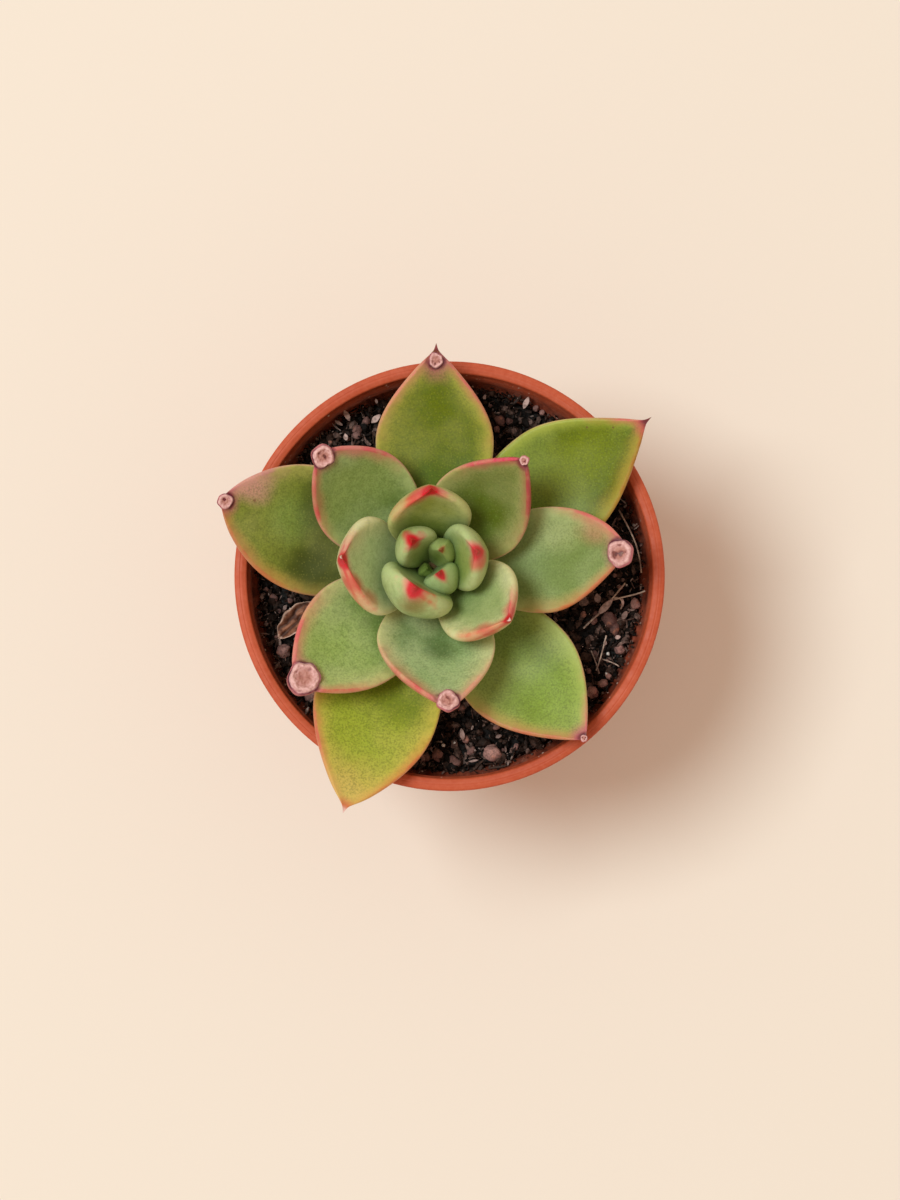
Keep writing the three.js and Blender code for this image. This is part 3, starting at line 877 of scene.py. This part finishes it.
def make_scar(leaf, material):
    """A corky disc with a raised, uneven rim and a wrinkled middle."""
    middle, up = scar_seat(leaf)
    turn = Vector((0, 0, 1)).rotation_difference(up)
    mesh = bmesh.new()
    bmesh.ops.create_uvsphere(mesh, u_segments=72, v_segments=60, radius=1)
    ring = mesh.verts.layers.float.new("ring")
    lump = mesh.verts.layers.float.new("lump")
    for vert in mesh.verts:
        fall = math.acos(max(-1.0, min(1.0, vert.co.z))) / math.pi
        angle = math.atan2(vert.co.y, vert.co.x)
        share, height = scar_profile(fall)
        circle = Vector((leaf.heading, math.cos(angle), math.sin(angle)))
        radius = leaf.scar * share * (1 + 0.2 * noise.noise(circle * 1.3) * min(1.0, share))
        fold = 0.0
        if fall < SCAR_FACE:
            place = Vector((share * math.cos(angle), share * math.sin(angle), leaf.heading))
            pit = max(0.0, noise.noise(place * 2.3 + Vector((5, 0, 0))) - 0.08)
            fold = -0.42 * pit * (1 - ease(0.5, 0.8, share))
            fold += 0.13 * noise.noise(place * 2.9) * (1 - ease(0.88, 1.0, share))
            fold += 0.06 * noise.noise(place * 6.5) * (1 - ease(0.9, 1.0, share))
        local = Vector((math.cos(angle) * radius, math.sin(angle) * radius, (height + fold) * leaf.scar))
        vert[ring] = share if fall < SCAR_FACE else 1 + (fall - SCAR_FACE) / (1 - SCAR_FACE)
        vert[lump] = fold
        vert.co = (middle + turn @ local) * MM
    bmesh.ops.recalc_face_normals(mesh, faces=mesh.faces)
    finish_piece(leaf.name.replace("leaf", "scar"), mesh, material, leaf.slot)


# Pot


def arc(radius, height, size, start, end, steps):
    """Points of a quarter-round edge as (radius, height) pairs."""
    turns = [math.radians(lerp(start, end, i / steps)) for i in range(steps + 1)]
    return [(radius + size * math.cos(a), height + size * math.sin(a)) for a in turns]


def inner_radius(height):
    share = (height - FLOOR_THICK) / (RIM - COLLAR_HEIGHT - FLOOR_THICK)
    return lerp(FOOT_RADIUS, SHOULDER_RADIUS, share) - WALL


def spun(profile, steps):
    """A bmesh turned about Z from (radius, height) pairs in millimetres."""
    mesh = bmesh.new()
    verts = [mesh.verts.new((radius * MM, 0, height * MM)) for radius, height in profile]
    edges = [mesh.edges.new(pair) for pair in zip(verts, verts[1:])]
    bmesh.ops.spin(mesh, geom=verts + edges, cent=(0, 0, 0), axis=(0, 0, 1), dvec=(0, 0, 0),
                   angle=2 * math.pi, steps=steps, use_merge=True, use_duplicate=False)
    bmesh.ops.remove_doubles(mesh, verts=mesh.verts, dist=0.0005 * MM)
    bmesh.ops.recalc_face_normals(mesh, faces=mesh.faces)
    return mesh


def pot_material():
    """Matt terracotta-coloured plastic, scuffed outside, darker towards the soil and dusty inside."""
    material, tree, shader = new_material("pot_plastic", 0.55, 0.3)
    split = tree.add("ShaderNodeSeparateXYZ")
    tree.join(tree.place(), split.inputs["Vector"])
    flat = tree.add("ShaderNodeCombineXYZ")
    tree.join(split.outputs["X"], flat.inputs["X"])
    tree.join(split.outputs["Y"], flat.inputs["Y"])
    reach = tree.add("ShaderNodeVectorMath", operation="LENGTH")
    tree.join(flat.outputs["Vector"], reach.inputs[0])
    radius = reach.outputs["Value"]
    height = split.outputs["Z"]
    fine = tree.noise(1400, 3)
    colour = tree.mix(tree.ramp(tree.noise(60, 3), 0.3, 0.7), (180, 75, 44), (190, 85, 52))
    slope = (SHOULDER_RADIUS - FOOT_RADIUS) / (RIM - COLLAR_HEIGHT)
    cup = tree.plus(tree.times(height, slope), (FOOT_RADIUS - WALL / 4) * MM)
    wall = tree.math("MINIMUM", cup, (RIM_RADIUS - RIM_WIDTH) * MM)
    within = tree.ramp(tree.minus(radius, wall), -0.15 * MM, 0.1 * MM, 1.0, 0.0)
    inside = tree.times(within, tree.math("GREATER_THAN", height, FLOOR_THICK / 2 * MM))
    # Darker in blotches inside the pot towards the soil.
    low = tree.ramp(height, (RIM - 8.6) * MM, (RIM - 1.2) * MM, 0.92, 0.25)
    blotch = tree.ramp(tree.noise(420, 4), 0.35, 0.62, 0.55, 1.0)
    darker_low = tree.times(inside, tree.times(low, blotch))
    colour = tree.mix(darker_low, colour, (74, 36, 28))
    film = tree.times(inside, tree.ramp(tree.noise(700, 4, 0.65), 0.5, 0.72, 0.0, 0.35))
    colour = tree.mix(film, colour, (150, 104, 92))
    specks = tree.ramp(tree.cells(900), 0.1, 0.24, 1.0, 0.0)
    rare = tree.ramp(tree.noise(420, 2), 0.55, 0.6)
    dust = tree.times(inside, tree.times(specks, rare))
    colour = tree.mix(dust, colour, (232, 200, 184))
    colour = tree.coats(
        colour,
        (fine, 0.35, 0.7, 0.0, 0.12, (226, 132, 100)),
        (tree.noise(180, 4, 0.6), 0.5, 0.7, 0.0, 0.16, (222, 120, 92)),
    )
    tree.join(tree.ramp(tree.noise(500, 4), 0.3, 0.7, 0.5, 0.65), shader["Roughness"])
    rings = tree.math("SINE", tree.times(radius, 2 * math.pi / (MOULD_RINGS * MM)))
    dress(tree, shader, colour, tree.plus(tree.times(rings, 0.3), fine), 0.3, 0.03)
    return material


# The rim's rounded corners, the crown of its top and the groove in it
RIM_CORNER = 0.45
RIM_CROWN = 0.1
RIM_GROOVE = 0.07


def rim_top(steps):
    """The nearly flat top of the rim, with a faint groove, from its outer to its inner corner."""
    outer = RIM_RADIUS - RIM_CORNER
    inner = RIM_RADIUS - RIM_WIDTH + RIM_CORNER
    shares = [i / steps for i in range(1, steps)]
    crowned = []
    for share in shares:
        crown = RIM_CROWN * (1 - math.sin(math.pi * share))
        groove = RIM_GROOVE * math.exp(-(((share - 0.42) / 0.1) ** 2))
        crowned.append((lerp(outer, inner, share), RIM - crown - groove))
    return [
        *arc(outer, RIM - RIM_CORNER - RIM_CROWN, RIM_CORNER, 0, 90, 6),
        *crowned,
        *arc(inner, RIM - RIM_CORNER - RIM_CROWN, RIM_CORNER, 90, 180, 6),
    ]


def make_pot():
    collar_bottom = RIM - COLLAR_HEIGHT
    collar_inner = RIM_RADIUS - RIM_WIDTH - 0.3
    floor_inner = inner_radius(FLOOR_THICK)
    mesh = spun([
        (0, 0),
        *[(radius, 0) for radius in (8, 16, 21)],
        *arc(FOOT_RADIUS - 1, 1, 1, -90, 0, 8),
        *[(lerp(FOOT_RADIUS, SHOULDER_RADIUS, s), lerp(1, collar_bottom - 0.6, s)) for s in (0.3, 0.6, 0.9)],
        *arc(SHOULDER_RADIUS + 0.3, collar_bottom - 0.3, 0.3, 180, 90, 4),
        *arc(RIM_RADIUS - 1, collar_bottom + 0.6, 0.6, -90, 0, 6),
        (RIM_RADIUS - 0.2, RIM - 2.5),
        *rim_top(24),
        (RIM_RADIUS - RIM_WIDTH, RIM - 1.4),
        (collar_inner, RIM - 1.7),
        (collar_inner - 0.1, collar_bottom + 0.6),
        (inner_radius(collar_bottom), collar_bottom + 0.2),
        *[(inner_radius(height), height) for height in (40, 30, 20, 10)],
        (floor_inner - 0.8, FLOOR_THICK),
        (8, FLOOR_THICK),
        (0, FLOOR_THICK),
    ], 192)
    drills = bmesh.new()
    for i in range(DRAINS):
        turn = i * 2 * math.pi / DRAINS
        made = bmesh.ops.create_cone(drills, cap_ends=True, segments=40, radius1=DRAIN_RADIUS * MM,
                                     radius2=DRAIN_RADIUS * MM, depth=3 * FLOOR_THICK * MM)
        place = Vector((DRAIN_RING * math.cos(turn), DRAIN_RING * math.sin(turn), FLOOR_THICK / 2))
        bmesh.ops.translate(drills, verts=made["verts"], vec=place * MM)
    cut(finish_piece("pot_shell", mesh, pot_material(), "pot_plastic", "pot"), drills)


def cut(piece, tool_mesh):
    """Cuts a bmesh out of a piece for good."""
    tool = object_of("cutter", tool_mesh)
    modifier = piece.modifiers.new("cut", "BOOLEAN")
    modifier.operation = "DIFFERENCE"
    modifier.solver = "EXACT"
    modifier.object = tool
    bpy.context.view_layer.update()
    evaluated = piece.evaluated_get(bpy.context.evaluated_depsgraph_get())
    made = bpy.data.meshes.new_from_object(evaluated)
    piece.modifiers.remove(modifier)
    piece.data = made
    bpy.data.objects.remove(tool)


# Soil


def soil_height(x, y):
    """Height of the crumbs: gentle swells, and a bank against the pot's wall."""
    swell = 0.5 * math.sin(x * 0.31 + 1.0) * math.cos(y * 0.27)
    bank = 1.3 * ease(27.5, 31.2, math.hypot(x, y))
    return SOIL_TOP + swell + 0.3 * math.sin(y * 0.53 + x * 0.2) + bank


def soil_material():
    """Damp near-black mix: each crumb has its own shade, from black to a pale pinkish grey."""
    material, tree, shader = new_material("gritty_soil", 0.8, 0.25)
    shade = tree.attribute("shade")
    grain = tree.noise(1800, 4, 0.7)
    colour = tree.coats(
        (16, 8, 4),
        (shade, 0.1, 0.62, 0.0, 1.0, (84, 60, 50)),
        (shade, 0.62, 0.84, 0.0, 1.0, (150, 120, 110)),
        (shade, 0.88, 1.0, 0.0, 1.0, (220, 196, 186)),
        (grain, 0.4, 0.66, 0.6, 0.0, (9, 5, 3)),
    )
    tree.join(tree.ramp(grain, 0.3, 0.7, 0.45, 0.9), shader["Roughness"])
    dress(tree, shader, colour, grain, 0.8, 0.15)
    return material


def make_bed(material):
    """The body of the soil, level with the crumbs that lie on it."""
    floor = SOIL_LOW.z / MM
    edge = SOIL_HIGH.x / MM
    rings = [edge * (1 - i / 60) for i in range(1, 60)]
    mesh = spun([
        (0, floor),
        (inner_radius(floor) - 0.3, floor),
        (edge, SOIL_TOP - 1),
        *[(radius, SOIL_TOP) for radius in rings],
        (0, SOIL_TOP),
    ], 144)
    shade = mesh.verts.layers.float.new("shade")
    for vert in mesh.verts:
        if vert.co.z > (SOIL_TOP - 0.5) * MM:
            x, y = vert.co.x / MM, vert.co.y / MM
            lumps = noise.noise(Vector((x * 0.9, y * 0.9, 4.0)))
            vert.co.z = (soil_height(x, y) - 0.9 + 0.35 * lumps) * MM
            vert[shade] = 0.05 + 0.1 * lumps
    finish_piece("soil_bed", mesh, material, "gritty_soil", "soil")


def shape_grain(verts, layer, spot, size, squash, shade, dice, length=1.0, rough=0.55):
    """Turns the verts of one plain grain into an uneven one, squashed, turned and placed."""
    turn = Quaternion([dice.gauss(0, 1) for _ in range(4)]).normalized()
    stretch = Vector((dice.uniform(0.75, 1.3) * length, dice.uniform(0.75, 1.1), squash))
    offset = Vector([dice.uniform(-9, 9) for _ in range(3)])
    for vert in verts:
        push = 1 + rough * noise.noise(vert.co * 1.3 + offset)
        local = turn @ (vert.co * stretch * push * size)
        vert.co = (spot + local) * MM
        vert[layer] = shade


def plain_grains(count, subdivisions):
    """A bmesh of plain grains in one spot, its shade layer, and the verts of each grain."""
    mesh = bmesh.new()
    shade = mesh.verts.layers.float.new("shade")
    bmesh.ops.create_icosphere(mesh, subdivisions=subdivisions, radius=1)
    sizes = [len(part) for part in (mesh.verts, mesh.edges, mesh.faces)]
    made = 1
    while made < count:
        more = min(made, count - made)
        parts = (mesh.verts, mesh.edges, mesh.faces)
        geometry = [item for part, size in zip(parts, sizes) for item in part[:][:more * size]]
        bmesh.ops.duplicate(mesh, geom=geometry)
        made += more
    verts = mesh.verts[:]
    return mesh, shade, [verts[i:i + sizes[0]] for i in range(0, len(verts), sizes[0])]


def ring_spot(dice, low, high):
    """A random place on the soil between two distances from the pot's axis."""
    radius = math.sqrt(dice.uniform(low * low, high * high))
    turn = dice.uniform(0, 2 * math.pi)
    return radius * math.cos(turn), radius * math.sin(turn)


def make_lumps(material):
    """The larger crumbs, which hide the bed."""
    dice = random.Random(11)
    mesh, shade, grains = plain_grains(LUMPS, 1)
    for verts in grains:
        size = 0.3 + 0.85 * dice.random() ** 3.5
        x, y = ring_spot(dice, 5, 31.3 - size)
        spot = Vector((x, y, soil_height(x, y) - 0.5 + dice.uniform(-0.2, 0.6)))
        shape_grain(verts, shade, spot, size, dice.uniform(0.45, 0.9), 0.84 * dice.random() ** 1.5, dice)
    finish_piece("soil_lumps", mesh, material, "gritty_soil", smooth=False)


def make_flakes(material):
    """The fine flakes and fibres on top, some of them pale."""
    dice = random.Random(12)
    mesh, shade, grains = plain_grains(FLAKES, 1)
    for verts in grains:
        size = 0.1 + 0.26 * dice.random() ** 2
        x, y = ring_spot(dice, 7, 31.4 - size)
        spot = Vector((x, y, soil_height(x, y) + dice.uniform(-0.3, 0.5)))
        length = 1 + 5.0 * dice.random() ** 3
        shape_grain(verts, shade, spot, size, 0.35, dice.random() ** 1.1, dice, length)
    finish_piece("soil_flakes", mesh, material, "gritty_soil", smooth=False)


def pumice_material():
    """Rounded porous stones, from a greyish brown to a pale pink, rusty in places."""
    material, tree, shader = new_material("pumice", 0.85, 0.3)
    pores = tree.noise(2600, 4, 0.7)
    colour = tree.coats(
        tree.mix(tree.attribute("shade"), (112, 80, 74), (216, 162, 150)),
        (tree.noise(700, 3), 0.42, 0.62, 0.4, 0.0, (90, 58, 54)),
        (tree.noise(900, 2), 0.58, 0.7, 0.0, 0.4, (206, 132, 98)),
        (pores, 0.3, 0.58, 0.6, 0.0, (54, 38, 40)),
    )
    dress(tree, shader, colour, pores, 0.7, 0.15)
    return material


# Pumice stones that lie in sight: x, y, size and shade, in millimetres
STONES = [
    (6.8, -27.7, 1.4, 0.85), (-2.0, -28.2, 1.1, 0.25), (0.8, -29.3, 0.9, 0.15), (-4.4, -28.7, 0.75, 0.45),
    (10.6, -26.9, 0.5, 0.4), (22.8, -18.2, 1.05, 0.75), (24.4, -16.8, 0.8, 0.55), (27.2, -11.4, 0.95, 0.45),
    (29.7, -4.1, 0.9, 0.7), (25.4, -15.6, 0.5, 0.8), (25.6, -6.6, 1.2, 0.12), (26.4, -8.0, 0.9, 0.1),
    (-26.4, -11.6, 1.2, 0.4), (-22.0, -18.5, 1.1, 0.4), (-13.3, 25.3, 0.75, 0.3), (-14.9, 23.9, 0.85, 0.3),
    (-19.5, 19.4, 1.0, 0.2), (-27.6, 1.5, 1.0, 0.3), (14.8, 26.6, 0.55, 0.5), (13.8, 27.3, 0.55, 0.3),
    (9.6, 25.2, 0.7, 0.15), (7.6, 24.0, 0.6, 0.2),
]


def make_stones(name, spots, subdivisions, seed, material):
    dice = random.Random(seed)
    mesh, shade, grains = plain_grains(len(spots), subdivisions)
    for verts, (x, y, size, tone) in zip(grains, spots):
        spot = Vector((x, y, soil_height(x, y) + 0.4 * size))
        shape_grain(verts, shade, spot, size, 0.85, tone, dice, rough=0.4)
    finish_piece(name, mesh, material, "gritty_soil")


def scattered_stones(count, seed):
    dice = random.Random(seed)
    places = [ring_spot(dice, 7, 30) for _ in range(count)]
    return [(x, y, dice.uniform(0.35, 0.8), dice.random() * 0.4) for x, y in places]


# Bark chips and husks that lie in sight: x, y and height above the soil, half length, half
# width, the way they point in degrees, and shade
CHIPS = [
    (-16.4, 26.0, 1.5, 1.05, 0.42, 118, 0.85), (-16.6, 22.6, 1.2, 0.6, 0.38, 100, 1.0),
    (-11.8, 25.6, 1.5, 1.0, 0.5, 40, 0.9), (-17.7, 24.8, 1.0, 0.8, 0.28, 150, 0.6),
    (-11.7, 28.3, 1.3, 0.45, 0.22, 100, 0.7), (12.2, 28.0, 2.0, 1.1, 0.42, 66, 0.85),
    (5.6, 29.0, 1.6, 0.45, 0.26, 80, 0.9), (2.0, -24.9, 1.5, 1.0, 0.42, 100, 0.55),
    (3.8, -29.1, 1.0, 0.85, 0.2, 10, 0.5), (7.8, -25.2, 1.2, 0.55, 0.3, 20, 0.35),
    (24.8, -4.6, 2.0, 1.75, 0.55, 46, 0.62), (27.6, -3.9, 1.9, 0.75, 0.22, 92, 0.85),
    (26.8, -9.4, 1.4, 0.5, 0.35, 10, 0.75), (24.8, -10.3, 1.5, 0.5, 0.28, 80, 0.6),
    (23.6, -3.2, 1.5, 0.8, 0.55, 100, 0.3), (27.9, -5.9, 1.4, 0.8, 0.45, 60, 0.4),
    (-29.0, 0.6, 1.2, 0.6, 0.35, 100, 0.5), (-26.3, -4.6, 1.0, 0.5, 0.3, 60, 0.4),
]

# Tiny white grains of perlite: x, y and radius
PERLITE = [
    (-1.0, -26.6, 0.36), (25.3, -12.0, 0.32), (0.8, -26.2, 0.18), (25.0, -15.2, 0.2), (28.3, -1.0, 0.22),
]


def chip_material():
    """Dry bark: brown where dark, and a pale pinkish grey where bleached."""
    material, tree, shader = new_material("bark_chip", 0.75, 0.35)
    streak = tree.noise(1500, 3)
    colour = tree.mix(tree.attribute("shade"), (78, 58, 54), (222, 188, 178))
    colour = tree.mix(tree.ramp(streak, 0.35, 0.6, 0.55, 0.0), colour, (96, 70, 62))
    dress(tree, shader, colour, streak, 0.6, 0.15)
    return material


def make_chips():
    """Thin curled flakes that taper to both ends."""
    mesh, shade, grains = plain_grains(len(CHIPS), 3)
    for i, (verts, (x, y, lift, length, width, heading, tone)) in enumerate(zip(grains, CHIPS)):
        turn = Quaternion((0, 0, 1), math.radians(heading)) @ Quaternion((0, 1, 0), math.radians(-14))
        spot = Vector((x, y, soil_height(x, y) + lift))
        for vert in verts:
            along, side, up = vert.co
            taper = 1 - 0.45 * along * along + 0.25 * noise.noise(Vector((along * 1.7, side, i)))
            curl = 0.35 * side * side * width - 0.12 * along * along * length
            local = Vector((along * length, side * width * taper, up * 0.13 + curl))
            vert.co = (spot + turn @ local) * MM
            vert[shade] = tone
    finish_piece("bark_chips", mesh, chip_material(), "gritty_soil")


def make_perlite():
    material, tree, shader = new_material("perlite", 0.6, 0.4)
    pores = tree.noise(3000, 3)
    tree.join(tree.mix(pores, (214, 206, 196), (246, 242, 236)), shader["Base Color"])
    dice = random.Random(31)
    mesh, shade, grains = plain_grains(len(PERLITE), 2)
    for verts, (x, y, size) in zip(grains, PERLITE):
        spot = Vector((x, y, soil_height(x, y) + 0.9))
        shape_grain(verts, shade, spot, size, 0.9, 1.0, dice, rough=0.3)
    finish_piece("perlite_grains", mesh, material, "gritty_soil")


# Straws: routes over the soil as x, y and height above it, and a thickness, in millimetres
STRAWS = [
    ([(27.0, 10.9, 2.4), (28.6, 8.0, 1.9), (29.6, 5.8, 1.5), (30.1, 4.2, 1.2), (30.5, 2.2, 1.0),
      (30.6, 0.9, 0.8)], 0.13),
    ([(31.0, -2.2, 4.6), (29.9, -2.7, 3.0), (27.8, -2.9, 2.3), (26.0, -3.5, 1.9)], 0.13),
    ([(28.0, -0.8, 2.8), (26.4, -2.7, 2.3), (25.7, -3.6, 2.0), (24.6, -4.6, 1.6)], 0.13),
    ([(23.9, -5.6, 1.7), (22.4, -6.9, 1.5), (21.4, -7.9, 0.9)], 0.16),
    ([(25.0, -9.1, 1.5), (24.5, -11.0, 2.0), (24.2, -12.6, 1.8), (23.4, -14.7, 0.9)], 0.13),
    ([(24.4, -12.9, 1.7), (26.5, -13.6, 1.8), (27.0, -14.1, 1.2)], 0.1),
    ([(26.2, -3.2, 1.9), (27.5, -2.8, 2.2), (27.8, -4.0, 2.0), (27.3, -4.9, 1.4)], 0.12),
    ([(22.6, -11.5, 1.2), (23.4, -13.4, 1.6), (23.9, -15.2, 1.0)], 0.09),
]


def straw_material():
    material, tree, shader = new_material("straw", 0.7, 0.35)
    streak = tree.noise(900, 3)
    colour = tree.mix(tree.ramp(streak, 0.38, 0.62), (206, 182, 164), (142, 116, 104))
    tree.join(colour, shader["Base Color"])
    return material


def make_straws():
    material = straw_material()
    for i, (route, thick) in enumerate(STRAWS):
        curve = bpy.data.curves.new(f"straw_{i + 1}", "CURVE")
        curve.dimensions = "3D"
        curve.bevel_depth = thick * MM
        curve.bevel_resolution = 3
        curve.use_fill_caps = True
        spline = curve.splines.new("NURBS")
        spline.points.add(len(route) - 1)
        for point, (x, y, lift) in zip(spline.points, route):
            point.co = (x * MM, y * MM, (soil_height(x, y) + lift) * MM, 1)
        spline.use_endpoint_u = True
        spline.order_u = 4
        spline.resolution_u = 10
        holder = bpy.data.objects.new("straw", curve)
        made = bpy.data.meshes.new_from_object(holder)
        mesh = bmesh.new()
        mesh.from_mesh(made)
        bpy.data.objects.remove(holder)
        bmesh.ops.remove_doubles(mesh, verts=mesh.verts, dist=0.001 * MM)
        bmesh.ops.recalc_face_normals(mesh, faces=mesh.faces)
        finish_piece(f"straw_{i + 1}", mesh, material, "dried_leaf")


# Dried leaf


def dried_material():
    """Brown papery skin, darker in the troughs of its pleats, with a bleached edge."""
    material, tree, shader = new_material("dried_leaf", 0.6, 0.4)
    cloud = tree.noise(700, 4, 0.6)
    edge = tree.plus(tree.attribute("edge"), tree.times(cloud, 0.08))
    colour = tree.coats(
        (96, 54, 36),
        (cloud, 0.35, 0.65, 0.0, 1.0, (168, 112, 84)),
        # Darker in the troughs of the pleats.
        (tree.attribute("fold"), -0.16, 0.1, 0.75, 0.0, (52, 28, 22)),
        (edge, 0.84, 0.98, 0.0, 0.9, (226, 188, 168)),
    )
    dress(tree, shader, colour, cloud, 0.6, 0.15)
    return material


def make_dried_leaf():
    """A shrivelled leaf: pointed, curled up along its edges and pleated along its length."""
    low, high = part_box("dried_leaf")
    middle = (low + high) / 2 / MM
    length, width, thick = 8.2, 3.9, 0.28
    turn = math.radians(47)
    mesh = bmesh.new()
    bmesh.ops.create_uvsphere(mesh, u_segments=96, v_segments=80, radius=1)
    edge = mesh.verts.layers.float.new("edge")
    fold = mesh.verts.layers.float.new("fold")
    for vert in mesh.verts:
        along = vert.co.z
        ring = math.hypot(vert.co.x, vert.co.y)
        across = vert.co.x / ring if ring > 1e-6 else 0.0
        taper = max(0.0, 1 - abs(along) ** 1.7) ** 0.8
        side = across * taper
        curl = 1.5 * side ** 2 + 0.5 * max(0.0, along) ** 2
        bend = noise.noise(Vector((along * 1.6, side * 1.2, 7.7)))
        pleat = 0.22 * math.sin(side * 11 + 2.5 * bend + 0.8) * (1 - 0.5 * abs(across))
        crumple = 0.5 * bend + pleat + 0.12 * noise.noise(Vector((along * 7, side * 5, 2.1)))
        over = 1 if vert.co.y >= 0 else -1
        layer = thick / 2 * over * math.sqrt(max(0.0, 1 - across ** 2)) * min(1.0, 4 * taper)
        x = along * length / 2
        y = side * width / 2 + 0.3 * noise.noise(Vector((along * 3.1, 4.4, side)))
        vert[edge] = max(abs(across), abs(along))
        vert[fold] = pleat
        vert.co = Vector((
            middle.x + x * math.cos(turn) - y * math.sin(turn),
            middle.y + x * math.sin(turn) + y * math.cos(turn),
            low.z / MM + 0.75 + layer + curl + crumple,
        )) * MM
    bmesh.ops.recalc_face_normals(mesh, faces=mesh.faces)
    finish_piece("dried_leaf_scrap", mesh, dried_material(), "dried_leaf", "dried_leaf")


def stem_material():
    material, tree, shader = new_material("stem_bark", 0.8, 0.25)
    cloud = tree.noise(700, 4)
    colour = tree.mix(tree.ramp(cloud, 0.35, 0.65), (120, 118, 66), (138, 104, 72))
    dress(tree, shader, colour, cloud, 0.6, 0.2)
    return material


# Stage


CAMERA_DISTANCE = 0.700
CAMERA_TILT = math.radians(3.0)
CAMERA_TARGET = Vector((0.00006, -0.00387, 0.058))
CAMERA_LENS = 133.1
FLOOR_COLOUR = (233, 223, 211)
FLOOR_REACH = 3
WINDOW_PLACE = Vector((-0.910, 0.296, 2.25))
WINDOW_AIM = Vector((0, 0, 0.05))
WINDOW_SIZE = 0.88
WINDOW_POWER = 39.0
WINDOW_COLOUR = (0.86, 0.972, 0.99)
ROOM_COLOUR = (1.0, 0.785, 0.625, 1)
ROOM_STRENGTH = 0.645


def make_camera():
    """Looks down on the rim from just in front of the pot, as the photo does."""
    data = bpy.data.cameras.new("camera")
    data.sensor_width = 36
    data.lens = CAMERA_LENS
    data.clip_start = 0.01
    camera = new_object("camera", data)
    back = Vector((0, -math.sin(CAMERA_TILT), math.cos(CAMERA_TILT)))
    camera.location = CAMERA_TARGET + back * CAMERA_DISTANCE
    camera.rotation_euler = (CAMERA_TILT, 0, 0)
    bpy.context.scene.camera = camera


def make_window():
    """The large soft window, high on the left, that throws the shadow to the right."""
    data = bpy.data.lights.new("window", "AREA")
    data.shape = "DISK"
    data.size = WINDOW_SIZE
    data.energy = WINDOW_POWER
    data.color = WINDOW_COLOUR
    light = new_object("window", data)
    light.location = WINDOW_PLACE
    light.rotation_euler = (WINDOW_AIM - WINDOW_PLACE).to_track_quat("-Z", "Y").to_euler()


def make_stage():
    """The pale table, the window and the light of the room."""
    material, tree, shader = new_material("floor", 0.9, 0.2)
    tree.join(FLOOR_COLOUR, shader["Base Color"])
    mesh = bmesh.new()
    bmesh.ops.create_grid(mesh, x_segments=1, y_segments=1, size=FLOOR_REACH)
    floor = object_of("floor", mesh)
    floor.data.materials.append(material)
    make_window()
    world = bpy.data.worlds.new("room")
    world.use_nodes = True
    background = world.node_tree.nodes["Background"].inputs
    background["Color"].default_value = ROOM_COLOUR
    background["Strength"].default_value = ROOM_STRENGTH
    bpy.context.scene.world = world
    bpy.context.scene.view_settings.view_transform = "Standard"


make_camera()
make_stage()
make_leaves()
SCAR_SKIN = scar_material()
for leaf in LEAVES:
    if leaf.scar:
        make_scar(leaf, SCAR_SKIN)
make_pot()
SOIL_SKIN = soil_material()
make_bed(SOIL_SKIN)
make_lumps(SOIL_SKIN)
make_flakes(SOIL_SKIN)
PUMICE_SKIN = pumice_material()
make_stones("pumice_stones", STONES, 3, 23, PUMICE_SKIN)
make_stones("pumice_grit", scattered_stones(GRIT, 24), 2, 25, PUMICE_SKIN)
make_chips()
make_perlite()
make_straws()
make_dried_leaf()
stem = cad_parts["stem"]
stem.data.materials.clear()
stem.data.materials.append(stem_material())
